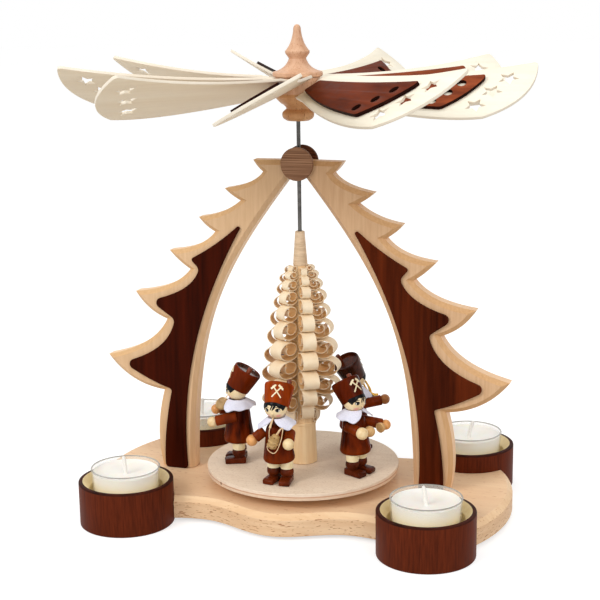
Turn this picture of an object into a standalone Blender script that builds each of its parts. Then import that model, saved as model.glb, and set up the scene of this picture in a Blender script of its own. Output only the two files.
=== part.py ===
"""Tealight christmas pyramid: a wooden stand with two fir-shaped arches, a nine-blade
rotor, and a turntable with a ring tree and five miner musicians.

Metres, +Z up. The origin is on the floor, under the shaft. The front faces -Y.
"""
import math

import bmesh
import bpy
from mathutils import Matrix, Vector

# Driving dimensions, in metres
GAP = 0.0003                      # clearance kept between pieces that touch
EASE = 0.0008                     # eased edge of the larger wooden pieces
FINE_EASE = 0.0004                # eased edge of the small wooden pieces

HOLDER_X = 0.0853                 # tealight centres, right and left of the shaft
HOLDER_Y = 0.0566                 # tealight centres, before and behind the shaft
HOLDER_RADIUS = 0.02625
HOLDER_HEIGHT = 0.0248
HOLDER_FLOOR = 0.0142             # height of the pocket's floor
HOLDER_BORE = 0.0205
HOLDER_LIP = 0.0240               # radius of the countersunk mouth
HOLDER_LIP_DEPTH = 0.0045

TEALIGHT_RADIUS = 0.0190
TEALIGHT_FOOT_RADIUS = 0.0182
TEALIGHT_RIM = 0.0318             # height of the cup's rim above the floor
TEALIGHT_WALL = 0.0008
WAX_BELOW_RIM = 0.0042
WICK_RADIUS = 0.0010
WICK_LENGTH = 0.0103

BASE_BOTTOM = 0.0022
BASE_TOP = 0.01445
BASE_CHAMFER = 0.0030
BASE_END_RADIUS = 0.0959          # the rounded ends of the base
BASE_END_CENTRE = 0.0239
BASE_BELLY = 0.0620               # half depth of the base at the shaft
BASE_VALLEY = 0.0492              # half depth beside the belly
BASE_VALLEY_X = 0.0430
BASE_SHOULDER_X = 0.0592          # where the front edge meets a holder
BASE_SHOULDER = 0.0515

ARCH_THICKNESS = 0.0098
ARCH_CHAMFER = 0.0024             # bevel round the front of each arch
ARCH_END_X = 0.0030               # the arches stop here beside the shaft
INLAY_THICKNESS = 0.0015

DISC_HEIGHT = 0.1960
DISC_RADIUS = 0.00915
DISC_THICKNESS = 0.0024
FRONT_DISC_X = 0.0009             # the front disc is glued on a little to the right
BUSH_LOW = 0.1910                 # the bush between the discs, through which the shaft runs
BUSH_HIGH = 0.1982

SHAFT_RADIUS = 0.0011
SHAFT_BOTTOM = 0.0098
SHAFT_TOP = 0.2500
SHAFT_POINT = 0.0022              # length of the tapered point
BEARING_RADIUS = 0.0050           # the cup in the base, on which the point turns
BEARING_MOUTH = 0.0030
BEARING_SEAT = 0.0016
BEARING_SEAT_HEIGHT = 0.0035
BEARING_FLOOR = 0.0015
BEARING_PROUD = 0.0015            # how far the cup stands above the base
BORE_RADIUS = 0.0015              # bore of every piece on the shaft

TURNTABLE_RADIUS = 0.0548
TURNTABLE_BOTTOM = 0.0204
TURNTABLE_TOP = 0.0244

BLADE_COUNT = 9
BLADE_START = math.radians(-83.65)
BLADE_HEIGHT = 0.2365             # height of the blade axes on the shaft
BLADE_THICKNESS = 0.0016
BLADE_INLAY_THICKNESS = 0.0013
HUB_RADIUS = 0.0122
TENON_START = 0.0098
TENON_HALF_WIDTH = 0.0034
STAR_RADIUS = 0.0046
STAR_INNER = 0.0024
HOLE_RADIUS = 0.0026

TRUNK_FOOT = 0.0084
TRUNK_RADIUS = 0.0074
TREE_LOW = 0.0505                 # lower end of the curls
TREE_HIGH = 0.1385                # upper end of the curls
TREE_TOP = 0.1594                 # top of the bare trunk
STUB_RADII = (0.0037, 0.0025)     # the bare trunk above the curls tapers
TREE_REACH = [0.0150, 0.0205, 0.0218, 0.0218, 0.0212, 0.0196, 0.0176, 0.0156, 0.0134, 0.0092]

MINER_COUNT = 5
MINER_START = math.radians(-92.0)
MINER_RING = 0.0365               # radius of the circle that the miners stand on
HEAD_CENTRE = 0.0430              # heights of a miner count from the turntable's top
HEAD_RADIUS = 0.0061
HAT_TILT = math.radians(31.0)     # the hat leans back about the middle of the head
BOOT_SIZE = (0.0121, 0.0062, 0.0045)
BOOT_FORWARD = 0.0022
BOOT_LEVEL = 0.00255              # middle of a boot's height
LEG_SPREAD = 0.0040
LEG_SPAN = (0.0020, 0.0122)       # lower and upper end of a leg
LEG_RADII = (0.0038, 0.0036)
SHOULDER = (0.0, 0.0060, 0.0285)
HAND = (0.0110, 0.0085, 0.0245)
ARM_RADII = (0.0030, 0.0026)
HAND_RADIUS = 0.0031

# Turned profiles of a miner's coat with its collar, and of the hat along its own axis
COAT_PROFILE = [(0, 0.0105), (0.0068, 0.0105), (0.0087, 0.0122), (0.0086, 0.0150),
                (0.0070, 0.0260), (0.0064, 0.0300), (0.0104, 0.0304), (0.0106, 0.0314),
                (0.0052, 0.0364), (0, 0.0364)]
HAT_PROFILE = [(0, 0.0005), (0.0061, 0.0005), (0.0064, 0.0014), (0.0076, 0.0128), (0.0070, 0.0130),
               (0.0068, 0.0112), (0, 0.0112)]

# Turned profiles of the hub and the finial cap, outer side, as (radius, height)
HUB_TOP = 0.2424
HUB_PROFILE = [(HUB_RADIUS, HUB_TOP), (HUB_RADIUS, 0.2335), (0.0127, 0.2318), (0.0092, 0.2283),
               (0.0066, 0.2253), (0.0084, 0.2222), (0.0080, 0.2204), (0.0062, 0.2191)]
CAP_PROFILE = [(0.0133, HUB_TOP + GAP), (0.0136, 0.2450), (0.0105, 0.2464), (0.0067, 0.2490),
               (0.0049, 0.2526), (0.0068, 0.2559), (0.0041, 0.2620), (0.0027, 0.2666),
               (0.0020, 0.2694), (0.0004, 0.2703)]

CORNERS = {
    "front_left": (-1, -1),
    "front_right": (1, -1),
    "back_right": (1, 1),
    "back_left": (-1, 1),
}

# Arch outline, right half, as (x, z): six branch tips and the notch below each one
ARCH_TIPS = [(0.0256, 0.1974), (0.0429, 0.1809), (0.0589, 0.1642),
             (0.0775, 0.1444), (0.0997, 0.1192), (0.1187, 0.0801)]
ARCH_NOTCHES = [(0.0200, 0.1909), (0.0336, 0.1744), (0.0493, 0.1562),
                (0.0651, 0.1339), (0.0805, 0.1038), (0.0839, 0.0609)]
BRANCH_BELLY = [0.10, 0.08, 0.12, 0.08, 0.18, 0.22]
BRANCH_SWEEP = [(0.26, 0.20), (0.22, 0.28), (0.39, 0.20), (0.28, 0.15), (0.26, 0.20), (0.22, 0.29)]
ARCH_TOP = 0.1977
ARCH_INNER = [(ARCH_END_X, 0.1907), (0.0501, 0.1306), (0.0645, 0.1015), (0.0660, BASE_TOP)]
ARCH_FOOT_X = 0.0860
LEG_BULGE = (0.0912, 0.0360)

# Dark inlay, right half: three branch tips, the notch below each one, and control points
# for its upper edges, its undersides and its inner edge
INLAY_TIPS = [(0.0635, 0.1405), (0.0897, 0.1150), (0.1083, 0.0768)]
INLAY_NOTCHES = [(0.0584, 0.1351), (0.0745, 0.1045), (0.0775, 0.0628)]
INLAY_UPPER = [(0.0449, 0.1500), (0.0621, 0.1214), (0.0780, 0.0855)]
INLAY_UNDER = [(0.0603, 0.1370), (0.0802, 0.1087), (0.0894, 0.0656)]
INLAY_INNER = [(0.0301, 0.1645), (0.0620, 0.1110), (0.0730, 0.0624), (0.0692, BASE_TOP)]
INLAY_LEG = (0.0840, 0.0357)
INLAY_FOOT_X = 0.0832

# Blade outline in its own plane: (distance from the shaft, place across the blade).
# Each edge is a curve given by its ends and one control point.
BLADE_ROOT_HIGH = 0.0092
BLADE_ROOT_LOW = -0.0085
BLADE_HIGH_EDGE = [(0.0185, 0.0118), (0.0728, 0.0090), (0.1254, 0.0278)]
BLADE_TIP = [(0.1254, 0.0278), (0.1313, -0.0047), (0.1052, -0.0218)]
BLADE_LOW_EDGE = [(0.1052, -0.0218), (0.0753, -0.0281), (0.0200, -0.0102)]
BLADE_STARS = [(0.1135, 0.0120), (0.1076, 0.0005), (0.1014, -0.0118)]
BLADE_INLAY_EDGES = [[(0.0192, 0.0049), (0.0645, 0.0056), (0.1045, 0.0122)],
                     [(0.1042, 0.0086), (0.0984, -0.0062), (0.0864, -0.0173)],
                     [(0.0859, -0.0174), (0.0480, -0.0160), (0.0165, -0.0044)]]
BLADE_HOLES = [(0.0932, 0.0038), (0.0876, -0.0047), (0.0806, -0.0124)]
BLADE_INLAY_SET_IN = {1: 0.0036, 3: 0.0036, 4: 0.0020}   # glued on nearer to the shaft

# Each blade is set by hand: its turn from an even spacing and its pitch, in degrees
BLADE_TURNS = [-0.1, 0.6, 2.1, -0.2, -1.6, 0.6, -0.5, -0.5, -1.6]
BLADE_PITCHES = [27.5, 32.5, 30.8, 28.6, 33.5, 33.5, 32.5, 30.7, 29.5]


def clear_scene():
    for obj in list(bpy.data.objects):
        bpy.data.objects.remove(obj, do_unlink=True)


def material(name, colour, roughness, metallic=0.0):
    """Principled material with one colour (linear RGB)."""
    made = bpy.data.materials.get(name)
    if made is None:
        made = bpy.data.materials.new(name)
        made.use_nodes = True
        shader = made.node_tree.nodes["Principled BSDF"]
        shader.inputs["Base Color"].default_value = (*colour, 1.0)
        shader.inputs["Roughness"].default_value = roughness
        shader.inputs["Metallic"].default_value = metallic
        made.diffuse_color = (*colour, 1.0)
    return made


def beech():
    return material("pale_beech", (0.72, 0.50, 0.31), 0.55)


def maple():
    return material("pale_maple", (0.76, 0.58, 0.38), 0.55)


def dark_stain():
    return material("dark_stained_wood", (0.085, 0.016, 0.006), 0.40)


def holder_stain():
    return material("red_brown_stained_wood", (0.115, 0.024, 0.010), 0.45)


def blade_wood():
    return material("cream_plywood", (0.88, 0.80, 0.63), 0.60)


def hub_wood():
    return material("pink_beech", (0.67, 0.38, 0.22), 0.50)


def steel():
    return material("grey_steel", (0.22, 0.21, 0.20), 0.35, 1.0)


def brass():
    return material("brass", (0.72, 0.50, 0.20), 0.30, 1.0)


def clear_cup():
    return material("clear_cup", (0.90, 0.92, 0.92), 0.08)


def wax():
    return material("white_wax", (0.90, 0.88, 0.82), 0.45)


def cotton():
    return material("white_cotton", (0.86, 0.86, 0.84), 0.80)


def lacquer():
    return material("red_brown_lacquer", (0.155, 0.035, 0.010), 0.22)


def skin_wood():
    return material("skin_coloured_wood", (0.72, 0.48, 0.28), 0.35)


def empty(name, place):
    node = bpy.data.objects.new(name, None)
    node.location = place
    bpy.context.collection.objects.link(node)
    return node


def add_object(name, mesh, finish, parent=None, place=(0, 0, 0), turn=0.0):
    """Link a mesh as a named piece, smooth with sharp edges kept."""
    obj = bpy.data.objects.new(name, mesh)
    bpy.context.collection.objects.link(obj)
    obj.location = place
    obj.rotation_euler = (0, 0, turn)
    obj.parent = parent
    if not mesh.materials:
        mesh.materials.append(finish)
    mesh.shade_smooth()
    mesh.set_sharp_from_angle(angle=math.radians(32))
    return obj


def finish_mesh(name, bm):
    """Close off a bmesh: merge doubles, face it outward and turn it into a mesh."""
    bmesh.ops.remove_doubles(bm, verts=bm.verts[:], dist=0.000002)
    bmesh.ops.recalc_face_normals(bm, faces=bm.faces[:])
    bmesh.ops.triangulate(bm, faces=bm.faces[:])
    mesh = bpy.data.meshes.new(name)
    bm.to_mesh(mesh)
    bm.free()
    return mesh


def turned_mesh(name, profile, steps):
    """Spin a closed or axis-to-axis profile of (radius, height) about Z."""
    bm = bmesh.new()
    verts = [bm.verts.new((radius, 0, height)) for radius, height in profile]
    edges = [bm.edges.new(pair) for pair in zip(verts, verts[1:])]
    if profile[0][0] > 0:
        edges.append(bm.edges.new((verts[-1], verts[0])))
    bmesh.ops.spin(bm, geom=verts + edges, cent=(0, 0, 0), axis=(0, 0, 1),
                   angle=2 * math.pi, steps=steps, use_merge=True)
    return finish_mesh(name, bm)


def bezier(controls, steps):
    """Points of the curve with these control points, without its start."""
    points = []
    for step in range(1, steps + 1):
        t = step / steps
        level = [Vector(control) for control in controls]
        while len(level) > 1:
            level = [a.lerp(b, t) for a, b in zip(level, level[1:])]
        points.append(tuple(level[0]))
    points[-1] = tuple(controls[-1])
    return points


def arc(centre, radius, first, last, steps):
    """Points on a circle, both ends included."""
    angles = [first + (last - first) * step / steps for step in range(steps + 1)]
    return [(centre[0] + radius * math.cos(a), centre[1] + radius * math.sin(a)) for a in angles]


def inset(points, widths):
    """Move each edge of an anticlockwise outline inward by its own width."""
    count = len(points)
    moved = []
    for index in range(count):
        before = Vector(points[index - 1])
        here = Vector(points[index])
        after = Vector(points[(index + 1) % count])
        along_in = (here - before).normalized()
        along_out = (after - here).normalized()
        normal_in = Vector((-along_in.y, along_in.x))
        normal_out = Vector((-along_out.y, along_out.x))
        start_in = here + normal_in * widths[index - 1]
        start_out = here + normal_out * widths[index]
        cross = along_in.cross(along_out)
        if abs(cross) < 0.02:
            moved.append(tuple((start_in + start_out) / 2))
        else:
            reach = (start_out - start_in).cross(along_out) / cross
            moved.append(tuple(start_in + along_in * reach))
    return moved


def lofted_mesh(name, rings, place_point):
    """Skin a stack of equal-length outlines and cap both ends."""
    bm = bmesh.new()
    loops = [[bm.verts.new(place_point(point, level)) for point in outline]
             for outline, level in rings]
    bm.faces.new(loops[0])
    bm.faces.new(loops[-1])
    count = len(loops[0])
    for lower, upper in zip(loops, loops[1:]):
        for index in range(count):
            following = (index + 1) % count
            bm.faces.new((lower[index], lower[following], upper[following], upper[index]))
    return finish_mesh(name, bm)


def pierced_mesh(name, outline, holes, thickness):
    """Flat board of the given outline with through holes, centred on its own plane."""
    curve = bpy.data.curves.new(name, "CURVE")
    curve.dimensions = "2D"
    curve.fill_mode = "BOTH"
    curve.extrude = thickness / 2
    for loop in [outline] + holes:
        spline = curve.splines.new("POLY")
        spline.points.add(len(loop) - 1)
        for point, (x, y) in zip(spline.points, loop):
            point.co = (x, y, 0, 1)
        spline.use_cyclic_u = True
    helper = bpy.data.objects.new(name, curve)
    bpy.context.collection.objects.link(helper)
    bm = bmesh.new()
    bm.from_mesh(bpy.data.meshes.new_from_object(helper))
    bpy.data.objects.remove(helper, do_unlink=True)
    return finish_mesh(name, bm)


def joined_mesh(name, base_mesh, other_meshes, operation="UNION"):
    """One mesh from a Boolean of several closed meshes."""
    helpers = []
    for mesh in [base_mesh] + other_meshes:
        helper = bpy.data.objects.new("helper", mesh)
        bpy.context.collection.objects.link(helper)
        helpers.append(helper)
    for other in helpers[1:]:
        cut = helpers[0].modifiers.new("join", "BOOLEAN")
        cut.operation = operation
        cut.object = other
    bpy.context.view_layer.update()
    graph = bpy.context.evaluated_depsgraph_get()
    bm = bmesh.new()
    bm.from_mesh(bpy.data.meshes.new_from_object(helpers[0].evaluated_get(graph)))
    for helper in helpers:
        bpy.data.objects.remove(helper, do_unlink=True)
    return finish_mesh(name, bm)


def base_front_edge(x):
    """Half depth of the base beside the shaft: a belly that runs into two valleys."""
    across = abs(x)
    if across < BASE_VALLEY_X:
        swing = 0.5 * (1 + math.cos(math.pi * across / BASE_VALLEY_X))
        return BASE_VALLEY + (BASE_BELLY - BASE_VALLEY) * swing
    rise = (across - BASE_VALLEY_X) / (BASE_SHOULDER_X - BASE_VALLEY_X)
    return BASE_VALLEY + (BASE_SHOULDER - BASE_VALLEY) * rise * rise


def base_quarter():
    """Outline from the right end to the middle of the back, with the nest's edge numbers."""
    nest = HOLDER_RADIUS + GAP
    way = Vector((HOLDER_X - BASE_END_CENTRE, HOLDER_Y))
    spread = (BASE_END_RADIUS ** 2 + way.length_squared - nest ** 2) / (2 * BASE_END_RADIUS * way.length)
    meet = math.atan2(way.y, way.x) - math.acos(spread)
    points = arc((BASE_END_CENTRE, 0), BASE_END_RADIUS, 0.0, meet, 6)
    first = math.atan2(points[-1][1] - HOLDER_Y, points[-1][0] - HOLDER_X)
    last = math.atan2(BASE_SHOULDER - HOLDER_Y, BASE_SHOULDER_X - HOLDER_X)
    nest_start = len(points) - 1
    points += arc((HOLDER_X, HOLDER_Y), nest, first, last, 9)[1:]
    nest_end = len(points) - 1
    edge_steps = 9
    for step in range(1, edge_steps + 1):
        x = BASE_SHOULDER_X * (1 - step / edge_steps)
        points.append((x, base_front_edge(x)))
    return points, nest_start, nest_end


def make_base():
    quarter, nest_start, nest_end = base_quarter()
    widths = [0.0 if nest_start <= index < nest_end else BASE_CHAMFER
              for index in range(len(quarter) - 1)]
    outline = quarter[:-1]
    outline += [(-x, y) for x, y in reversed(quarter)][:-1]
    outline += [(-x, -y) for x, y in quarter][:-1]
    outline += [(x, -y) for x, y in reversed(quarter)][:-1]
    all_widths = widths + widths[::-1] + widths + widths[::-1]
    rings = [(outline, BASE_BOTTOM), (outline, BASE_TOP - BASE_CHAMFER),
             (inset(outline, all_widths), BASE_TOP)]
    board = lofted_mesh("base_plate", rings, lambda point, level: (*point, level))
    floor = SHAFT_BOTTOM - BEARING_FLOOR - 2 * GAP
    wall = BEARING_RADIUS + GAP
    above = 2 * BASE_TOP
    pocket = turned_mesh("pocket", [(0, above), (wall, above), (wall, floor), (0, floor)], 16)
    add_object("base_plate", joined_mesh("base_plate", board, [pocket], "DIFFERENCE"), beech())


def make_holders():
    profile = [(0, 0), (HOLDER_RADIUS - EASE, 0), (HOLDER_RADIUS, EASE),
               (HOLDER_RADIUS, HOLDER_HEIGHT - EASE), (HOLDER_RADIUS - EASE, HOLDER_HEIGHT),
               (HOLDER_LIP, HOLDER_HEIGHT), (HOLDER_BORE, HOLDER_HEIGHT - HOLDER_LIP_DEPTH),
               (HOLDER_BORE, HOLDER_FLOOR), (0, HOLDER_FLOOR)]
    mesh = turned_mesh("candle_holder", profile, 28)
    for corner, (side, front) in CORNERS.items():
        place = (side * HOLDER_X, front * HOLDER_Y, 0)
        add_object("candle_holder_" + corner, mesh, holder_stain(), None, place)


def make_tealights():
    foot = HOLDER_FLOOR + GAP
    inner = TEALIGHT_RADIUS - TEALIGHT_WALL
    inner_foot = TEALIGHT_FOOT_RADIUS - TEALIGHT_WALL
    wax_top = TEALIGHT_RIM - WAX_BELOW_RIM
    cup = turned_mesh("tealight_cup", [
        (0, foot), (TEALIGHT_FOOT_RADIUS, foot), (TEALIGHT_RADIUS, TEALIGHT_RIM),
        (inner, TEALIGHT_RIM), (inner_foot, foot + TEALIGHT_WALL),
        (0, foot + TEALIGHT_WALL)], 24)
    wax_foot = foot + TEALIGHT_WALL + GAP
    fill = turned_mesh("tealight_wax", [
        (0, wax_foot), (inner_foot - GAP, wax_foot), (inner - 2 * GAP, wax_top), (0, wax_top)], 24)
    wick_foot = wax_top + GAP
    wick = turned_mesh("tealight_wick", [
        (0, wick_foot), (WICK_RADIUS, wick_foot), (WICK_RADIUS, wick_foot + WICK_LENGTH),
        (0, wick_foot + WICK_LENGTH)], 6)
    for corner, (side, front) in CORNERS.items():
        carrier = empty("tealight_carrier_" + corner, (side * HOLDER_X, front * HOLDER_Y, 0))
        add_object("tealight_cup_" + corner, cup, clear_cup(), carrier)
        add_object("tealight_wax_" + corner, fill, wax(), carrier)
        add_object("tealight_wick_" + corner, wick, cotton(), carrier)


def branch_edge(start, tip, notch, belly, sweep, steps):
    """One branch: a hollow sweep out to its tip, and a bellied underside back to the notch."""
    reach = (start[0] + sweep[0] * (tip[0] - start[0]), tip[1] + sweep[1] * (start[1] - tip[1]))
    points = bezier([start, reach, tip], steps)
    chord = Vector(notch) - Vector(tip)
    middle = (Vector(notch) + Vector(tip)) / 2
    sag = Vector((-chord.y, chord.x)) * belly
    return points + bezier([tip, middle + sag, notch], steps - 2)


def arch_outline():
    """Right arch in the XZ plane, anticlockwise, with the width of each edge's bevel."""
    outer = [(ARCH_END_X, ARCH_TOP)]
    for tip, notch, belly, sweep in zip(ARCH_TIPS, ARCH_NOTCHES, BRANCH_BELLY, BRANCH_SWEEP):
        outer += branch_edge(outer[-1], tip, notch, belly, sweep, 5)
    outer += bezier([outer[-1], LEG_BULGE, (ARCH_FOOT_X, BASE_TOP)], 5)
    outline = [ARCH_INNER[0]] + bezier(ARCH_INNER, 12) + outer[::-1]
    widths = []
    for here, after in zip(outline, outline[1:] + outline[:1]):
        on_foot = here[1] == BASE_TOP and after[1] == BASE_TOP
        on_joint = here[0] == ARCH_END_X and after[0] == ARCH_END_X
        widths.append(0.0 if on_foot or on_joint else 1.0)
    return outline, widths


def in_arch_plane(side):
    """Put an (x, z) outline upright, mirrored for the left side."""
    return lambda point, level: (side * point[0], level, point[1])


def make_arches():
    outline, widths = arch_outline()
    lifted = [(x, max(z, BASE_TOP + GAP)) for x, z in outline]
    half = ARCH_THICKNESS / 2
    front = inset(lifted, [ARCH_CHAMFER * width for width in widths])
    back = inset(lifted, [EASE * width for width in widths])
    rings = [(front, -half), (lifted, -half + ARCH_CHAMFER), (lifted, half - EASE),
             (back, half)]
    for name, side in (("arch_left", -1), ("arch_right", 1)):
        add_object(name, lofted_mesh(name, rings, in_arch_plane(side)), maple())


def arch_inlay_outline():
    """Dark inlay in the XZ plane, anticlockwise: inner edge, leg and three branches. Its apex
    is left out, which makes the upper end blunt."""
    outer = [INLAY_INNER[0]]
    for tip, notch, upper, under in zip(INLAY_TIPS, INLAY_NOTCHES, INLAY_UPPER, INLAY_UNDER):
        outer += bezier([outer[-1], upper, tip], 6)
        outer += bezier([tip, under, notch], 5)
    outer += bezier([outer[-1], INLAY_LEG, (INLAY_FOOT_X, BASE_TOP)], 3)
    outline = bezier(INLAY_INNER, 12) + outer[:0:-1]
    return [(x, max(z, BASE_TOP + GAP)) for x, z in outline]


def make_arch_inlays():
    outline = arch_inlay_outline()
    near = ARCH_THICKNESS / 2 + GAP
    far = near + INLAY_THICKNESS
    for face, way in (("front", -1), ("back", 1)):
        for hand, side in (("left", -1), ("right", 1)):
            name = "_".join(("arch_inlay", face, hand))
            rings = [(outline, way * near), (outline, way * far)]
            add_object(name, lofted_mesh(name, rings, in_arch_plane(side)), dark_stain())


def make_guide():
    """Two discs that tie the arch tops together, with the shaft's bush between them."""
    profile = [(0, 0), (DISC_RADIUS, 0), (DISC_RADIUS, DISC_THICKNESS - FINE_EASE),
               (DISC_RADIUS - FINE_EASE, DISC_THICKNESS), (0, DISC_THICKNESS)]
    face = ARCH_THICKNESS / 2 + GAP
    finishes = [("guide_disc_front", -1, FRONT_DISC_X, hub_wood()),
                ("guide_disc_back", 1, 0.0, dark_stain())]
    for name, way, across, finish in finishes:
        mesh = turned_mesh(name, profile, 24)
        mesh.transform(Matrix.Rotation(-way * math.pi / 2, 4, "X"))
        add_object(name, mesh, finish, None, (across, way * face, DISC_HEIGHT))
    outer = ARCH_END_X - GAP
    bush = turned_mesh("guide_bush", [(BORE_RADIUS, BUSH_HIGH), (outer, BUSH_HIGH),
                                      (outer, BUSH_LOW), (BORE_RADIUS, BUSH_LOW)], 14)
    add_object("guide_bush", bush, brass())


def make_bearing():
    """Cup in the base with a conical mouth, in which the shaft's point stands."""
    floor = SHAFT_BOTTOM - GAP
    foot = floor - BEARING_FLOOR
    rim = BASE_TOP + BEARING_PROUD
    cup = turned_mesh("bearing_cup", [
        (0, foot), (BEARING_RADIUS, foot), (BEARING_RADIUS, rim), (BEARING_MOUTH, rim),
        (BEARING_SEAT, floor + BEARING_SEAT_HEIGHT), (0, floor)], 16)
    add_object("bearing_cup", cup, brass())


def make_shaft_and_hub(carousel):
    shaft = turned_mesh("shaft", [
        (0, SHAFT_BOTTOM), (SHAFT_RADIUS, SHAFT_BOTTOM + SHAFT_POINT), (SHAFT_RADIUS, SHAFT_TOP),
        (0, SHAFT_TOP)], 12)
    add_object("shaft", shaft, steel(), carousel)
    bore = [(BORE_RADIUS, HUB_PROFILE[-1][1]), (BORE_RADIUS, HUB_TOP)]
    body = turned_mesh("hub_body", HUB_PROFILE + bore, 24)
    slots = [blade_slot(index) for index in range(BLADE_COUNT)]
    add_object("hub_body", joined_mesh("hub_body", body, slots, "DIFFERENCE"), hub_wood(), carousel)
    bore_end = SHAFT_TOP + GAP
    bore = [(CAP_PROFILE[-1][0], bore_end), (BORE_RADIUS, bore_end), (BORE_RADIUS, CAP_PROFILE[0][1])]
    cap = turned_mesh("finial_cap", (CAP_PROFILE + bore)[::-1], 24)
    add_object("finial_cap", cap, hub_wood(), carousel)


def blade_frame(index):
    """Blade plane: X runs out from the shaft, Y runs up across the blade."""
    angle = BLADE_START + index * 2 * math.pi / BLADE_COUNT + math.radians(BLADE_TURNS[index])
    tilt = Matrix.Rotation(math.radians(BLADE_PITCHES[index]), 4, "X")
    return Matrix.Translation((0, 0, BLADE_HEIGHT)) @ Matrix.Rotation(angle, 4, "Z") @ tilt


def blade_slot(index):
    """Cutter for the slanted slot that takes one blade's tenon."""
    bm = bmesh.new()
    bmesh.ops.create_cube(bm, size=1.0)
    depth = 1.2 * HUB_RADIUS - TENON_START
    size = (depth, 2 * (TENON_HALF_WIDTH + GAP), BLADE_THICKNESS + 2 * GAP)
    bmesh.ops.scale(bm, vec=size, verts=bm.verts[:])
    bmesh.ops.translate(bm, vec=(TENON_START - GAP + depth / 2, 0, 0), verts=bm.verts[:])
    bm.transform(blade_frame(index))
    return finish_mesh("slot", bm)


def star(centre):
    """Five-pointed star with one point towards the tip."""
    points = []
    for corner in range(10):
        radius = STAR_RADIUS if corner % 2 == 0 else STAR_INNER
        angle = corner * math.pi / 5
        points.append((centre[0] + radius * math.cos(angle), centre[1] + radius * math.sin(angle)))
    return points


def blade_root():
    """Root edge that hugs the hub, with the tenon in its middle."""
    def beside_hub(across):
        level = across * math.cos(math.radians(max(BLADE_PITCHES)))
        return math.sqrt((HUB_RADIUS + 2 * GAP) ** 2 - level * level)
    shoulder = HUB_RADIUS + 3 * GAP
    low = [(beside_hub(y) + GAP, y) for y in (BLADE_ROOT_LOW, 0.7 * BLADE_ROOT_LOW)]
    tenon = [(shoulder, -TENON_HALF_WIDTH), (TENON_START, -TENON_HALF_WIDTH),
             (TENON_START, TENON_HALF_WIDTH), (shoulder, TENON_HALF_WIDTH)]
    high = [(beside_hub(y) + GAP, y) for y in (0.7 * BLADE_ROOT_HIGH, BLADE_ROOT_HIGH)]
    return low + tenon + high


def make_rotor(carousel):
    outline = blade_root() + [BLADE_HIGH_EDGE[0]]
    for edge in (BLADE_HIGH_EDGE, BLADE_TIP, BLADE_LOW_EDGE):
        outline += bezier(edge, 5)
    inlay_outline = []
    for edge in BLADE_INLAY_EDGES:
        inlay_outline += [edge[0]] + bezier(edge, 3)
    blade = pierced_mesh("blade", outline, [star(place) for place in BLADE_STARS], BLADE_THICKNESS)
    rounds = [arc(place, HOLE_RADIUS, 0, 2 * math.pi, 8)[:-1] for place in BLADE_HOLES]
    inlay = pierced_mesh("blade_inlay", inlay_outline, rounds, BLADE_INLAY_THICKNESS)
    lift = BLADE_THICKNESS / 2 + GAP + BLADE_INLAY_THICKNESS / 2
    for number in range(1, BLADE_COUNT + 1):
        frame = blade_frame(number - 1)
        board = add_object("blade_" + str(number), blade, blade_wood(), carousel)
        board.matrix_local = frame
        cover = add_object("blade_inlay_" + str(number), inlay, dark_stain(), carousel)
        set_in = BLADE_INLAY_SET_IN.get(number, 0.0)
        cover.matrix_local = frame @ Matrix.Translation((-set_in, 0, lift))


def make_turntable(carousel):
    inner = TURNTABLE_RADIUS - FINE_EASE
    mesh = turned_mesh("turntable", [
        (BORE_RADIUS, TURNTABLE_BOTTOM), (inner, TURNTABLE_BOTTOM),
        (TURNTABLE_RADIUS, TURNTABLE_BOTTOM + FINE_EASE),
        (TURNTABLE_RADIUS, TURNTABLE_TOP - FINE_EASE),
        (inner, TURNTABLE_TOP), (BORE_RADIUS, TURNTABLE_TOP)], 48)
    add_object("turntable", mesh, beech(), carousel)


def make_ring_tree(carousel):
    """Outer shape of the ring tree: a trunk, its tiers of curls and the bare top."""
    foot = TURNTABLE_TOP + GAP
    profile = [(BORE_RADIUS, foot), (TRUNK_FOOT, foot), (TRUNK_RADIUS, TREE_LOW)]
    tier_height = (TREE_HIGH - TREE_LOW) / len(TREE_REACH)
    for tier, reach in enumerate(TREE_REACH):
        low = TREE_LOW + tier * tier_height
        profile += [(reach, low + 0.35 * tier_height), (0.88 * reach, low + tier_height)]
    profile += [(STUB_RADII[0], TREE_HIGH + GAP), (STUB_RADII[1], TREE_TOP), (BORE_RADIUS, TREE_TOP)]
    add_object("ring_tree", turned_mesh("ring_tree", profile, 18), maple(), carousel)


def bar_mesh(start, end, radii, sides):
    """Tapered round bar between two points."""
    axis = Vector(end) - Vector(start)
    mesh = turned_mesh("bar", [(0, 0), (radii[0], 0), (radii[1], axis.length), (0, axis.length)], sides)
    turn = axis.to_track_quat("Z", "Y").to_matrix().to_4x4()
    mesh.transform(Matrix.Translation(start) @ turn)
    return mesh


def ball_mesh(centre, radius, sides):
    bm = bmesh.new()
    bmesh.ops.create_uvsphere(bm, u_segments=sides, v_segments=sides // 2 + 1, radius=radius)
    bmesh.ops.translate(bm, vec=centre, verts=bm.verts[:])
    return finish_mesh("ball", bm)


def block_mesh(centre, size):
    bm = bmesh.new()
    bmesh.ops.create_cube(bm, size=1.0)
    bmesh.ops.scale(bm, vec=size, verts=bm.verts[:])
    bmesh.ops.translate(bm, vec=centre, verts=bm.verts[:])
    return finish_mesh("block", bm)


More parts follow.
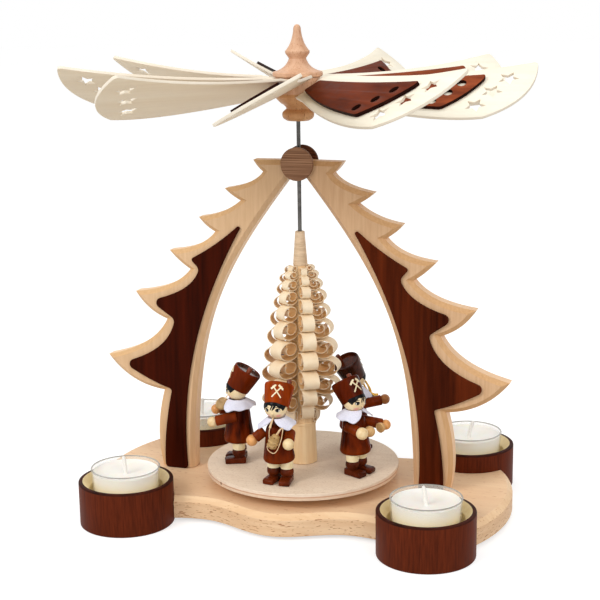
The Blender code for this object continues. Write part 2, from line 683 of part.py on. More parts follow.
def miner_body_mesh():
    """Boots, legs, coat, arms and hands of one miner, who looks along +X."""
    coat = turned_mesh("coat", COAT_PROFILE, 14)
    limbs = []
    for side in (-1, 1):
        ankle, hip = [(0, side * LEG_SPREAD, height) for height in LEG_SPAN]
        limbs.append(bar_mesh(ankle, hip, LEG_RADII, 8))
        limbs.append(block_mesh((BOOT_FORWARD, side * LEG_SPREAD, BOOT_LEVEL), BOOT_SIZE))
        shoulder, hand = [Vector((x, side * y, z)) for x, y, z in (SHOULDER, HAND)]
        limbs.append(bar_mesh(shoulder, hand, ARM_RADII, 8))
        limbs.append(ball_mesh(hand, HAND_RADIUS, 8))
    return joined_mesh("miner_body", coat, limbs)


def miner_head_mesh():
    """Head ball with the tall hat that leans back on it."""
    hat = turned_mesh("hat", HAT_PROFILE, 16)
    hat.transform(Matrix.Translation((0, 0, HEAD_CENTRE)) @ Matrix.Rotation(-HAT_TILT, 4, "Y"))
    return joined_mesh("miner_head", ball_mesh((0, 0, HEAD_CENTRE), HEAD_RADIUS, 14), [hat])


def make_miners(carousel):
    body = miner_body_mesh()
    head = miner_head_mesh()
    for index in range(MINER_COUNT):
        angle = MINER_START + index * 2 * math.pi / MINER_COUNT
        place = (MINER_RING * math.cos(angle), MINER_RING * math.sin(angle), TURNTABLE_TOP)
        number = str(index + 1)
        add_object("miner_body_" + number, body, lacquer(), carousel, place, angle)
        add_object("miner_head_" + number, head, skin_wood(), carousel, place, angle)


def main():
    clear_scene()
    make_base()
    make_holders()
    make_tealights()
    make_arches()
    make_arch_inlays()
    make_guide()
    make_bearing()
    carousel = empty("carousel", (0, 0, 0))
    make_shaft_and_hub(carousel)
    make_rotor(carousel)
    make_turntable(carousel)
    make_ring_tree(carousel)
    make_miners(carousel)


main()
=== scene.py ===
"""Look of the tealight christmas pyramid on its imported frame.

Metres, +Z up, the front faces -Y. Every piece rides one of the frame's bodies.
"""
import math
import random

import bmesh
import bpy
from mathutils import Matrix, Vector


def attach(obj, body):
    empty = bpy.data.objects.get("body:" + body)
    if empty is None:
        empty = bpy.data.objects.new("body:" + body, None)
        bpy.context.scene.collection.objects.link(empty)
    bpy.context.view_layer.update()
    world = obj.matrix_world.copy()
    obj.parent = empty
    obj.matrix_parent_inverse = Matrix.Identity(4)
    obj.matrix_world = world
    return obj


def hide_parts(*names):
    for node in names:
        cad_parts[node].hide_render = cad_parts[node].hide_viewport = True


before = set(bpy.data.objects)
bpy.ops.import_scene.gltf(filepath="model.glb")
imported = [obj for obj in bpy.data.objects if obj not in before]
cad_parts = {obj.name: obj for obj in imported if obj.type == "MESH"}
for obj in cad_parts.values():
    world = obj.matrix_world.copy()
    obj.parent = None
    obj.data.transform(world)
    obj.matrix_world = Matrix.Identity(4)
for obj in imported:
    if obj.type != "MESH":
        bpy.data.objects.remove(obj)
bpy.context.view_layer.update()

chance = random.Random(7)

CORNERS = ("front_left", "front_right", "back_right", "back_left")

# Sizes in metres, the same as in the CAD source

GAP = 0.0003
BASE_BOTTOM, BASE_TOP = 0.0022, 0.01445
BASE_CHAMFER = 0.0030
BASE_END_RADIUS, BASE_END_CENTRE = 0.0959, 0.0239
BASE_BELLY, BASE_VALLEY, BASE_SHOULDER = 0.0620, 0.0492, 0.0515
BASE_VALLEY_X, BASE_SHOULDER_X = 0.0430, 0.0592
HOLDER_X, HOLDER_Y = 0.0853, 0.0566
HOLDER_RADIUS, HOLDER_HEIGHT, HOLDER_FLOOR = 0.02625, 0.0248, 0.0142
HOLDER_BORE, HOLDER_LIP, HOLDER_LIP_DEPTH = 0.0205, 0.0240, 0.0045
CUP_RADIUS, CUP_FOOT_RADIUS, CUP_RIM, WAX_TOP = 0.0190, 0.0182, 0.0318, 0.0276
ARCH_THICKNESS, ARCH_CHAMFER = 0.0098, 0.0024
ARCH_END_X, ARCH_FOOT_X, ARCH_TOP = 0.0030, 0.0860, 0.1977
ARCH_TIPS = [(0.0256, 0.1974), (0.0429, 0.1809), (0.0589, 0.1642),
             (0.0775, 0.1444), (0.0997, 0.1192), (0.1187, 0.0801)]
ARCH_NOTCHES = [(0.0200, 0.1909), (0.0336, 0.1744), (0.0493, 0.1562),
                (0.0651, 0.1339), (0.0805, 0.1038), (0.0839, 0.0609)]
BRANCH_BELLY = [0.10, 0.08, 0.12, 0.08, 0.18, 0.22]
BRANCH_SWEEP = [(0.26, 0.20), (0.22, 0.28), (0.39, 0.20), (0.28, 0.15), (0.26, 0.20), (0.22, 0.29)]
ARCH_INNER = [(ARCH_END_X, 0.1907), (0.0501, 0.1306), (0.0645, 0.1015), (0.0660, BASE_TOP)]
LEG_BULGE = (0.0912, 0.0360)
INLAY_THICKNESS = 0.0015
INLAY_TIPS = [(0.0635, 0.1405), (0.0897, 0.1150), (0.1083, 0.0768)]
INLAY_NOTCHES = [(0.0584, 0.1351), (0.0745, 0.1045), (0.0775, 0.0628)]
INLAY_UPPER = [(0.0449, 0.1500), (0.0621, 0.1214), (0.0780, 0.0855)]
INLAY_UNDER = [(0.0603, 0.1370), (0.0802, 0.1087), (0.0894, 0.0656)]
INLAY_INNER = [(0.0301, 0.1645), (0.0620, 0.1110), (0.0730, 0.0624), (0.0692, BASE_TOP)]
INLAY_LEG, INLAY_FOOT_X = (0.0840, 0.0357), 0.0832
DISC_HEIGHT, DISC_RADIUS, DISC_THICKNESS = 0.1960, 0.00915, 0.0024
FRONT_DISC_X = 0.0009
BLADE_COUNT = 9
BLADE_START = math.radians(-83.65)
BLADE_HEIGHT, BLADE_THICKNESS = 0.2365, 0.0016
HUB_RADIUS, HUB_TOP = 0.0122, 0.2424
TENON_START, TENON_HALF_WIDTH = 0.0098, 0.0034
BLADE_ROOT_HIGH, BLADE_ROOT_LOW = 0.0092, -0.0085
BLADE_HIGH_EDGE = [(0.0185, 0.0118), (0.0728, 0.0090), (0.1254, 0.0278)]
BLADE_TIP = [(0.1254, 0.0278), (0.1313, -0.0047), (0.1052, -0.0218)]
BLADE_LOW_EDGE = [(0.1052, -0.0218), (0.0753, -0.0281), (0.0200, -0.0102)]
OVERLAY_EDGES = [[(0.0192, 0.0049), (0.0645, 0.0056), (0.1045, 0.0122)],
                 [(0.1042, 0.0086), (0.0984, -0.0062), (0.0864, -0.0173)],
                 [(0.0859, -0.0174), (0.0480, -0.0160), (0.0165, -0.0044)]]
OVERLAY_HOLES = [(0.0932, 0.0038), (0.0876, -0.0047), (0.0806, -0.0124)]
OVERLAY_SET_IN = {1: 0.0036, 3: 0.0036, 4: 0.0020}
HOLE_RADIUS = 0.0026
TURNTABLE_RADIUS, TURNTABLE_BOTTOM, TURNTABLE_TOP = 0.0548, 0.0204, 0.0244
MINER_COUNT = 5
MINER_START, MINER_RING = math.radians(-92.0), 0.0365

# Sizes of the look alone, closer to the photo than the CAD source

CUP_WALL, WAX_DISH, WICK_RADIUS = 0.0006, 0.0022, 0.0011
WICK_LEANS = {"front_left": (-0.0008, -0.0003), "front_right": (-0.0014, -0.0005),
              "back_right": (0.0024, 0.0008), "back_left": (0.0006, 0.0004)}
# Share of its lean that a wick has at each height above the wax
WICK_LINE = [(0, -0.0005), (0.2, 0.0035), (0.6, 0.0070), (1.0, 0.0101)]
INLAY_ROUND, INLAY_TIP_ROUND, INLAY_EASE = 0.0020, 0.0068, 0.0003
BLADE_TURNS = [0.8, 0.6, 2.1, -0.2, -1.6, 0.6, -0.5, -0.5, -1.6]
BLADE_PITCHES = [28.2, 32.5, 30.8, 28.6, 33.5, 33.5, 32.5, 30.7, 29.5]
BLADE_TIP_ROUND, BLADE_EASE = 0.0030, 0.00012
BLADE_STARS = [(0.1126, 0.0121), (0.1061, 0.0000), (0.0997, -0.0123)]
STAR_RADIUS, STAR_INNER = 0.0057, 0.0027
# Blades that sit a little off: (breadth, rise in metres, droop in degrees)
BLADE_FITS = {1: (1.08, 0.0014, 0.0), 3: (1.0, 0.0, 0.8)}
OVERLAY_THICKNESS, OVERLAY_ROUND, OVERLAY_EASE = 0.0019, 0.0014, 0.00015
# Blades whose overlays get a brighter copy of the stain: painted light.
OVERLAYS_WITH_PAINTED_LIGHT = (3, 4)
KNOT_PLACE, KNOT_CORE, KNOT_RADIUS = (-0.0340, -0.0430, 0.0222), 0.0006, 0.0011
HEM_BRIGHT, HEM_END = 0.0130, 0.0195


# Materials

def linear(red, green, blue):
    """Scene colour of an sRGB colour given from 0 to 255."""
    def one(level):
        share = level / 255
        return share / 12.92 if share <= 0.04045 else ((share + 0.055) / 1.055) ** 2.4
    return (one(red), one(green), one(blue), 1.0)


class Look:
    """A node material: a Principled shader fed by textures in object coordinates."""

    def __init__(self, name, roughness, shine=0.5, **sockets):
        self.material = bpy.data.materials.new(name)
        self.material.use_nodes = True
        self.nodes = self.material.node_tree.nodes
        self.links = self.material.node_tree.links
        self.shader = self.nodes["Principled BSDF"].inputs
        self.roughness = roughness
        self.shader["Specular IOR Level"].default_value = shine
        for socket, value in sockets.items():
            self.shader[socket.replace("_", " ")].default_value = value
        self.place = self.add("TexCoord").outputs["Object"]
        self.own_place = self.vector("ADD", self.place, self.add("ObjectInfo").outputs["Random"])

    def feed(self, socket, value):
        """Set a socket to a constant or link another socket to it."""
        if isinstance(value, bpy.types.NodeSocket):
            self.links.new(value, socket)
        else:
            socket.default_value = value

    def add(self, kind, *inputs, **settings):
        """New node with these settings; the inputs go to its first sockets."""
        node = self.nodes.new("ShaderNode" + kind)
        for name, value in settings.items():
            setattr(node, name, value)
        for socket, value in zip(node.inputs, inputs):
            self.feed(socket, value)
        return node

    def vector(self, operation, first, second):
        node = self.add("VectorMath", first, second, operation=operation)
        return node.outputs["Value" if operation in ("DOT_PRODUCT", "DISTANCE", "LENGTH") else "Vector"]

    def scalar(self, operation, first, second):
        return self.add("Math", first, second, operation=operation).outputs["Value"]

    def height(self):
        return self.add("SeparateXYZ", self.place).outputs["Z"]

    def noise(self, frequency, detail):
        """Noise with its own number of features per metre along each axis."""
        node = self.add("TexNoise", self.vector("MULTIPLY", self.own_place, frequency))
        node.inputs["Scale"].default_value = 1.0
        node.inputs["Detail"].default_value = detail
        return node.outputs["Fac"]

    def ramp(self, factor, stops):
        """Colour from a factor; stops are (place, colour)."""
        node = self.add("ValToRGB", factor)
        marks = node.color_ramp.elements
        while len(marks) < len(stops):
            marks.new(0.5)
        for mark, (place, colour) in zip(marks, stops):
            mark.position = place
            mark.color = colour
        return node.outputs["Color"]

    def tones(self, factor, *stops):
        """Ramp of sRGB colours."""
        return self.ramp(factor, [(place, linear(*colour)) for place, colour in stops])

    def span(self, value, low, high, to_low=0.0, to_high=1.0):
        """Map a value from one range to another, clamped and smooth."""
        node = self.add("MapRange", value, low, high, to_low, to_high, interpolation_type="SMOOTHSTEP")
        return node.outputs["Result"]

    def mix(self, factor, first, second, blend="MIX"):
        node = self.add("Mix", factor, data_type="RGBA", blend_type=blend)
        self.feed(node.inputs[6], first)
        self.feed(node.inputs[7], second)
        return node.outputs[2]

    def finish(self, colour, texture, spread, relief, depth=0.0001):
        """Feed the shader a colour, and a roughness and a relief that follow a texture."""
        self.feed(self.shader["Base Color"], colour)
        low, high = self.roughness - spread, min(1.0, self.roughness + spread)
        self.feed(self.shader["Roughness"], self.span(texture, 0.3, 0.7, low, high))
        bump = self.add("Bump", relief, depth)
        self.links.new(texture, bump.inputs["Height"])
        self.links.new(bump.outputs["Normal"], self.shader["Normal"])
        return self.material


def wood(name, dark, light, grain, roughness, shine=0.5, fleck=None, relief=0.25, contrast=0.12, fibres=0.4):
    """Wood whose fibres follow grain, the number of features per metre along each axis. The fibres
    have that share in its colour, and broader bands the rest. A fleck is (colour, grain, level)."""
    look = Look(name, roughness, shine)
    broad = look.noise([0.22 * number for number in grain], 2.0)
    fibre = look.noise(grain, 6.0)
    bands = look.scalar("MULTIPLY", broad, 1 - fibres)
    strands = look.scalar("MULTIPLY", fibre, fibres)
    both = look.scalar("ADD", bands, strands)
    colour = look.tones(both, (0.5 - contrast, dark), (0.5 + contrast, light))
    if fleck:
        tint, spacing, level = fleck
        spots = look.span(look.noise(spacing, 1.5), level, level + 0.06)
        colour = look.mix(spots, colour, linear(*tint))
    return look.finish(colour, fibre, 0.06, relief)


def lacquer(name, dark, light, shine, grain=(260, 260, 60)):
    return wood(name, dark, light, grain, 0.24, shine, relief=0.05, contrast=0.16)


def plain(name, dark, light, frequency, roughness, shine=0.5, relief=0.1, **sockets):
    """Smooth stuff with a faint mottle."""
    look = Look(name, roughness, shine, **sockets)
    mottle = look.noise((frequency, frequency, frequency), 3.0)
    colour = look.tones(mottle, (0.35, dark), (0.65, light))
    return look.finish(colour, mottle, 0.15 * roughness, relief, 0.00005)


# Painted shade: the arch maple grows darker towards the top, where the rotor's shadow falls.
MAPLE_TOP_SHADE = [(0.0, (1.0, 1.0, 1.0, 1.0)), (0.84, (1.0, 1.0, 1.0, 1.0)), (1.0, (0.82, 0.80, 0.78, 1.0))]


def maple(side, dark, light):
    """Face, bevel and edge of one arch; the bevel has painted shade, darker and warmer than the face, and the
    edge painted light, paler than the face. The wood also has painted shade, a little darker towards the top."""
    finishes = []
    # Painted shade on the bevel, darker and warmer, and painted light on the edge, paler, as sRGB steps from
    # the face.
    for part, painted_light_and_shade in (("face", (0, 0, 0)), ("bevel", (-3, -7, -14)), ("edge", (26, 28, 28))):
        look = Look("_".join(("maple", side, part)), 0.48, 0.2)
        low, high = [[min(255, level + step) for level, step in zip(colour, painted_light_and_shade)]
                     for colour in (dark, light)]
        fibre = look.noise((800, 800, 50), 5.0)
        tone = look.tones(fibre, (0.25, low), (0.75, high))
        # Painted shade, darker towards the top of the arch.
        level = look.ramp(look.span(look.height(), BASE_TOP, ARCH_TOP), MAPLE_TOP_SHADE)
        finishes.append(look.finish(look.mix(1.0, tone, level, "MULTIPLY"), fibre, 0.06, 0.2))
    return finishes


def coat_look():
    """Lacquer that is brighter on the round of the hem."""
    look = Look("lacquer_coat", 0.24, 0.04)
    fibre = look.noise((260, 260, 60), 6.0)
    tone = look.tones(fibre, (0.34, (46, 9, 1)), (0.66, (110, 36, 3)))
    hem = look.span(look.height(), HEM_BRIGHT, HEM_END, 0.4, 0.0)
    return look.finish(look.mix(hem, tone, linear(134, 52, 9)), fibre, 0.06, 0.05)


def wax_look():
    """White wax with painted shade: creamier down in the holder, where less light gets into it."""
    look = Look("wax", 0.40, Subsurface_Weight=0.15, Subsurface_Scale=0.004)
    mottle = look.noise((120, 120, 120), 3.0)
    # Painted shade: creamier towards the bottom of the holder.
    depth = look.span(look.height(), HOLDER_HEIGHT - HOLDER_LIP_DEPTH, WAX_TOP)
    white = look.tones(depth, (0.0, (255, 236, 190)), (1.0, (255, 253, 246)))
    colour = look.mix(look.span(mottle, 0.35, 0.65, 0.0, 0.5), white, linear(255, 249, 236))
    return look.finish(colour, mottle, 0.06, 0.1, 0.00005)


def turntable_edge_look():
    """Three plies, light, reddish and light, and a knot."""
    look = Look("turntable_edge", 0.55, 0.2)
    ply = look.span(look.height(), TURNTABLE_BOTTOM, TURNTABLE_TOP)
    bands = look.tones(ply, (0.0, (238, 212, 184)), (0.34, (236, 208, 178)), (0.42, (206, 156, 124)),
                       (0.56, (212, 164, 132)), (0.64, (242, 220, 196)), (1.0, (242, 222, 198)))
    fibre = look.noise((300, 300, 1500), 4.0)
    colour = look.mix(look.span(fibre, 0.35, 0.7, 0.0, 0.25), bands, linear(196, 146, 112))
    away = look.vector("DISTANCE", look.place, KNOT_PLACE)
    knot = look.span(away, KNOT_CORE, KNOT_RADIUS, 0.8, 0.0)
    return look.finish(look.mix(knot, colour, linear(120, 74, 46)), fibre, 0.06, 0.2)


# Finishes: darkest and lightest colour, features per metre, roughness and shine

BEECH = wood("oiled_beech", (234, 193, 151), (246, 211, 172), (40, 500, 500), 0.50, 0.2, contrast=0.20,
             fleck=((206, 152, 108), (200, 1100, 1100), 0.66))
BEECH_SIDE = wood("beech_side", (228, 186, 143), (243, 208, 168), (50, 50, 420), 0.50, 0.2,
                  fleck=((178, 122, 82), (300, 300, 1900), 0.62))
BEECH_BEVEL = wood("beech_bevel", (236, 195, 150), (247, 212, 170), (40, 500, 500), 0.50, 0.2,
                   fleck=((206, 154, 110), (200, 1100, 1100), 0.66))
STAIN = wood("holder_stain", (62, 22, 9), (112, 46, 22), (1100, 1100, 90), 0.50, 0.05, contrast=0.27,
             fibres=0.7)
STAIN_RIM = wood("holder_rim", (40, 14, 8), (70, 28, 17), (420, 420, 420), 0.50, 0.05)
STAIN_INSIDE = wood("holder_inside", (240, 216, 160), (250, 232, 188), (420, 420, 60), 0.55)
MAPLE_LEFT = maple("left", (215, 176, 134), (229, 192, 151))
# The right arch's maple is darker than the left's: painted shade.
MAPLE_RIGHT = maple("right", (205, 163, 122), (221, 182, 142))
DARK_LEFT = wood("dark_inlay_left", (38, 8, 2), (68, 19, 5), (520, 520, 30), 0.48, 0.03, contrast=0.15)
DARK_RIGHT = wood("dark_inlay_right", (46, 12, 3), (100, 39, 14), (460, 460, 26), 0.48, 0.03, contrast=0.17)
DISC = wood("disc_wood", (104, 66, 44), (166, 126, 96), (30, 400, 2500), 0.52, 0.1, contrast=0.16, fibres=1.0)
DISC_BACK = wood("disc_back", (62, 30, 16), (104, 60, 38), (90, 400, 1800), 0.50, 0.06, fibres=0.9)
HUB = wood("turned_beech", (206, 157, 122), (225, 183, 150), (460, 460, 60), 0.45, 0.2,
           fleck=((190, 132, 97), (1900, 1900, 330), 0.62))
# Painted shade: a darker copy of the turned beech for the hub below the blades, in their shadow.
HUB_PAINTED_SHADE = wood("turned_beech_painted_shade", (190, 134, 86), (215, 163, 114), (460, 460, 60), 0.45, 0.2,
               fleck=((158, 102, 64), (1900, 1900, 330), 0.62))
BLADE = wood("blade_plywood", (244, 233, 210), (251, 244, 226), (26, 420, 420), 0.55, 0.3, contrast=0.18)
BLADE_SIDE = wood("blade_side", (234, 221, 200), (246, 236, 218), (60, 60, 60), 0.60, 0.2)
# Painted shade: the blade's underside is a darker, yellower copy of its top.
BLADE_UNDERSIDE_SHADE = wood("blade_underside", (237, 218, 188), (247, 232, 206), (26, 420, 420), 0.55, 0.2,
                   contrast=0.18)
OVERLAY = wood("blade_overlay", (80, 32, 15), (116, 51, 27), (160, 420, 420), 0.50, 0.04, contrast=0.16)
# Painted light: a brighter copy of the overlay stain, for blades whose tops face the light.
OVERLAY_PAINTED_LIGHT = wood("blade_overlay_bright", (112, 50, 26), (158, 78, 44), (160, 420, 420), 0.50, 0.04,
                      contrast=0.16)
OVERLAY_SIDE = wood("overlay_side", (26, 10, 7), (44, 18, 12), (400, 400, 400), 0.50, 0.03)
TURNTABLE = wood("turntable_top", (234, 210, 184), (246, 226, 202), (260, 900, 900), 0.55, 0.2, contrast=0.20,
                 fleck=((218, 192, 164), (700, 1700, 1700), 0.61))
TURNTABLE_EDGE = turntable_edge_look()
SHAVING = wood("shaving_outside", (241, 216, 180), (250, 232, 202), (240, 240, 240), 0.50, 0.3)
# Painted shade: the inside of each curl is a darker, more orange copy of the shaving.
SHAVING_INSIDE_SHADE = wood("shaving_inside_painted_shade", (238, 194, 134), (247, 210, 154), (240, 240, 240), 0.55, 0.3)
TRUNK = wood("trunk", (238, 198, 147), (249, 218, 173), (500, 500, 60), 0.50, 0.2)
STUB = wood("tree_top", (214, 186, 152), (234, 208, 177), (300, 300, 2200), 0.55, 0.2, contrast=0.08)
COAT = coat_look()
LACQUER = lacquer("lacquer", (48, 9, 1), (116, 37, 3), 0.04)
LACQUER_BOOT = lacquer("lacquer_boot", (44, 12, 3), (106, 40, 12), 0.08, (300, 300, 300))
LACQUER_DARK = lacquer("lacquer_dark", (36, 10, 3), (98, 40, 12), 0.10, (300, 300, 300))
LACQUER_HAT = lacquer("lacquer_hat", (70, 20, 2), (124, 42, 6), 0.05)
LACQUER_BRIGHT = lacquer("lacquer_hat_bright", (112, 36, 2), (184, 72, 8), 0.04)
SLEEVE = lacquer("lacquer_sleeve", (68, 20, 3), (146, 56, 9), 0.06)
HAT_TOP = wood("lacquer_hat_top", (58, 32, 22), (88, 60, 48), (260, 260, 260), 0.16, 0.6, relief=0.05)
PEG = wood("peg_wood", (86, 34, 16), (134, 62, 34), (600, 600, 120), 0.30, 0.3)
HORN = wood("horn_wood", (170, 134, 82), (210, 174, 116), (500, 500, 500), 0.32, 0.3, contrast=0.10,
            fleck=((118, 86, 46), (900, 900, 900), 0.62))
CYMBAL = wood("cymbal_wood", (206, 160, 102), (232, 192, 134), (500, 500, 500), 0.32, 0.3, contrast=0.14)
TROUSERS = plain("cream_paint", (240, 220, 172), (249, 234, 194), 300, 0.30, 0.35)
HAND_PALE = plain("hand_pale", (232, 200, 148), (245, 220, 172), 300, 0.28, 0.35)
HAND_TAN = plain("hand_tan", (214, 146, 82), (234, 172, 106), 300, 0.28, 0.35)
HAND_BROWN = plain("hand_brown", (156, 96, 50), (188, 124, 70), 300, 0.28, 0.3)
BLACK = plain("black_paint", (6, 6, 8), (16, 15, 18), 400, 0.20, 0.10)
FELT = plain("white_felt", (221, 222, 241), (240, 241, 254), 2400, 0.95, 0.1, relief=0.5, Sheen_Weight=0.2)
EMBLEM = plain("emblem_cream", (240, 220, 176), (250, 236, 200), 600, 0.35, 0.3)
CORD = plain("horn_cord", (222, 184, 136), (242, 212, 170), 900, 0.40, 0.3)
BRASS = plain("brass", (206, 156, 70), (232, 188, 100), 300, 0.22, Metallic=1.0)
STEEL = plain("steel", (74, 72, 70), (100, 98, 95), 300, 0.34, Metallic=1.0)
COTTON = plain("cotton", (236, 232, 224), (252, 250, 246), 2600, 0.85, relief=0.6)
CUP = plain("clear_cup", (252, 248, 236), (255, 253, 246), 60, 0.10, Alpha=0.22)
CUP_EDGE = plain("clear_cup_rim", (150, 148, 140), (184, 182, 174), 60, 0.12, Alpha=0.80)
WAX = wax_look()


# Mesh helpers

def bezier(controls, steps):
    """Points of the curve with these control points, without its start."""
    points = []
    for step in range(1, steps + 1):
        level = [Vector(control) for control in controls]
        while len(level) > 1:
            level = [a.lerp(b, step / steps) for a, b in zip(level, level[1:])]
        points.append(tuple(level[0]))
    points[-1] = tuple(controls[-1])
    return points


def arc(centre, radius, first, last, steps):
    """Points on a circle, both ends included."""
    angles = [first + (last - first) * step / steps for step in range(steps + 1)]
    return [(centre[0] + radius * math.cos(a), centre[1] + radius * math.sin(a)) for a in angles]


def through(points, steps):
    """Smooth line through the points, with a number of steps between each two."""
    knots = [Vector(point) for point in points]
    knots = [2 * knots[0] - knots[1]] + knots + [2 * knots[-1] - knots[-2]]
    line = []
    for a, b, c, d in zip(knots, knots[1:], knots[2:], knots[3:]):
        for step in range(steps):
            t = step / steps
            line.append(0.5 * (2 * b + (c - a) * t + (2 * a - 5 * b + 4 * c - d) * t * t
                               + (3 * b - a - 3 * c + d) * t ** 3))
    return line + [knots[-2]]


def lookup(pairs, at):
    """Value at a place from (place, value) pairs in rising order, straight between them."""
    if at <= pairs[0][0]:
        return pairs[0][1]
    for (low, first), (high, second) in zip(pairs, pairs[1:]):
        if at <= high:
            return first + (second - first) * (at - low) / (high - low)
    return pairs[-1][1]


def finish_mesh(name, bm, sharp=35.0):
    """Merge doubles, face outward, shade smooth with sharp edges kept."""
    bmesh.ops.remove_doubles(bm, verts=bm.verts[:], dist=0.000001)
    bmesh.ops.recalc_face_normals(bm, faces=bm.faces[:])
    mesh = bpy.data.meshes.new(name)
    bm.to_mesh(mesh)
    bm.free()
    mesh.shade_smooth()
    mesh.set_sharp_from_angle(angle=math.radians(sharp))
    return mesh


def joined(name, meshes, sharp=35.0):
    """One mesh of several, side by side."""
    bm = bmesh.new()
    for mesh in meshes:
        bm.from_mesh(mesh)
        bpy.data.meshes.remove(mesh)
    return finish_mesh(name, bm, sharp)


def turned(name, profile, steps=96, sharp=35.0):
    """Spin a closed or axis-to-axis profile of (radius, height) about Z."""
    bm = bmesh.new()
    verts = [bm.verts.new((point[0], 0, point[1])) for point in profile]
    edges = [bm.edges.new(pair) for pair in zip(verts, verts[1:])]
    if profile[0][0] > 0:
        edges.append(bm.edges.new((verts[-1], verts[0])))
    bmesh.ops.spin(bm, geom=verts + edges, cent=(0, 0, 0), axis=(0, 0, 1),
                   angle=2 * math.pi, steps=steps, use_merge=True)
    return finish_mesh(name, bm, sharp)


def rounded(profile, radius, steps=3):
    """Round every corner of an open profile by up to radius."""
    points = [Vector(point) for point in profile]
    line = [points[0]]
    for before, here, after in zip(points, points[1:], points[2:]):
        reach = min(radius, 0.45 * (here - before).length, 0.45 * (after - here).length)
        start = here + (before - here).normalized() * reach
        end = here + (after - here).normalized() * reach
        line += [start] + [Vector(point) for point in bezier([start, here, end], steps)]
    return [tuple(point) for point in line + [points[-1]]]


def walk(points, index, step, reach):
    """Point at a distance along a closed outline from one of its corners, and the corners passed."""
    passed = []
    here = points[index]
    while True:
        index = (index + step) % len(points)
        length = (points[index] - here).length
        if length >= reach:
            return here.lerp(points[index], reach / length), passed
        reach -= length
        here = points[index]
        passed.append(index)


def fillet(outline, reach, acute_reach=None, turn=0.35, steps=8):
    """Round the sharp corners of a closed outline. The rounding starts at a distance of reach along
    the outline from the corner, or acute_reach where the corner is very pointed."""
    points = [Vector(point) for point in outline]
    caps = {}
    gone = set()
    for index, corner in enumerate(points):
        following = points[(index + 1) % len(points)]
        angle = abs((corner - points[index - 1]).angle_signed(following - corner, 0.0))
        if angle < turn:
            continue
        trim = acute_reach if acute_reach and angle > math.radians(130) else reach
        start, before = walk(points, index, -1, trim)
        end, after = walk(points, index, 1, trim)
        gone.update(before + after)
        half = (start - corner).angle(end - corner) / 2
        handle = min(trim, 4 / 3 * math.tan((math.pi / 2 - half) / 2) * trim * math.tan(half))
        controls = [start, start + (corner - start).normalized() * handle,
                    end + (corner - end).normalized() * handle, end]
        caps[index] = [tuple(start)] + bezier(controls, steps)
    line = []
    for index, point in enumerate(points):
        if index in caps:
            line += caps[index]
        elif index not in gone:
            line.append(tuple(point))
    return line


def inset(points, widths):
    """Move each edge of an anticlockwise outline inward by its own width. Edges that would turn
    round are left out, and their corners fall on the next one."""
    count = len(points)
    starts = []
    ways = []
    for index in range(count):
        here = Vector(points[index])
        way = (Vector(points[(index + 1) % count]) - here).normalized()
        starts.append(here + Vector((-way.y, way.x)) * widths[index])
        ways.append(way)

    def crossing(first, second):
        cross = ways[first].cross(ways[second])
        if abs(cross) < 0.004:
            corner = Vector(points[second])
            foot_a = starts[first] + ways[first] * (corner - starts[first]).dot(ways[first])
            foot_b = starts[second] + ways[second] * (corner - starts[second]).dot(ways[second])
            return (foot_a + foot_b) / 2
        reach = (starts[second] - starts[first]).cross(ways[second]) / cross
        return starts[first] + ways[first] * reach

    active = list(range(count))
    while True:
        corners = {edge: crossing(active[place - 1], edge) for place, edge in enumerate(active)}
        lengths = []
        for place, edge in enumerate(active):
            following = active[(place + 1) % len(active)]
            lengths.append(((corners[following] - corners[edge]).dot(ways[edge]), edge))
        worst, edge = min(lengths)
        if worst >= 0 or len(active) < 8:
            break
        active.remove(edge)
    moved = []
    for index in range(count):
        edge = next((kept for kept in active if kept >= index), active[0])
        moved.append(tuple(corners[edge]))
    return moved


def skin(bm, loops):
    """Join each loop of points to the next and cap both ends. Gives (place in the loop, face) of
    the faces between the loops."""
    rings = [[bm.verts.new(point) for point in loop] for loop in loops]
    bm.faces.new(rings[0])
    bm.faces.new(rings[-1])
    sides = []
    for lower, upper in zip(rings, rings[1:]):
        for index in range(len(lower)):
            following = (index + 1) % len(lower)
            face = bm.faces.new((lower[index], lower[following], upper[following], upper[index]))
            sides.append((index, face))
    return sides


def lofted(name, outline, edges, steps, place_point, sharp):
    """Board of an outline. Each step is (inset, level), and the inset counts at an edge by its share."""
    bm = bmesh.new()
    rings = [(inset(outline, [width * edge for edge in edges]), level) for width, level in steps]
    skin(bm, [[place_point(point, level) for point in ring] for ring, level in rings])
    return finish_mesh(name, bm, sharp)


def moved(mesh, matrix):
    mesh.transform(matrix)
    return mesh


def aimed(place, target, axis="-Z"):
    """Matrix that puts something at a place, with its own axis pointing to a target."""
    way = Vector(target) - Vector(place)
    return Matrix.Translation(place) @ way.to_track_quat(axis, "Y").to_matrix().to_4x4()


def linked(name, data):
    """New object in the scene."""
    thing = bpy.data.objects.new(name, data)
    bpy.context.collection.objects.link(thing)
    return thing


def pierced(name, outline, holes, thickness, ease):
    """Flat board of the outline with through holes and eased edges, centred on its own plane."""
    curve = bpy.data.curves.new(name, "CURVE")
    curve.dimensions = "2D"
    curve.fill_mode = "BOTH"
    curve.extrude = thickness / 2 - ease
    curve.bevel_depth = ease
    curve.bevel_resolution = 1
    curve.offset = -ease
    for loop in [outline] + holes:
        spline = curve.splines.new("POLY")
        spline.points.add(len(loop) - 1)
        for point, (x, y) in zip(spline.points, loop):
            point.co = (x, y, 0, 1)
        spline.use_cyclic_u = True
    helper = linked(name, curve)
    bm = bmesh.new()
    bm.from_mesh(bpy.data.meshes.new_from_object(helper))
    bpy.data.objects.remove(helper, do_unlink=True)
    return finish_mesh(name, bm, 40.0)


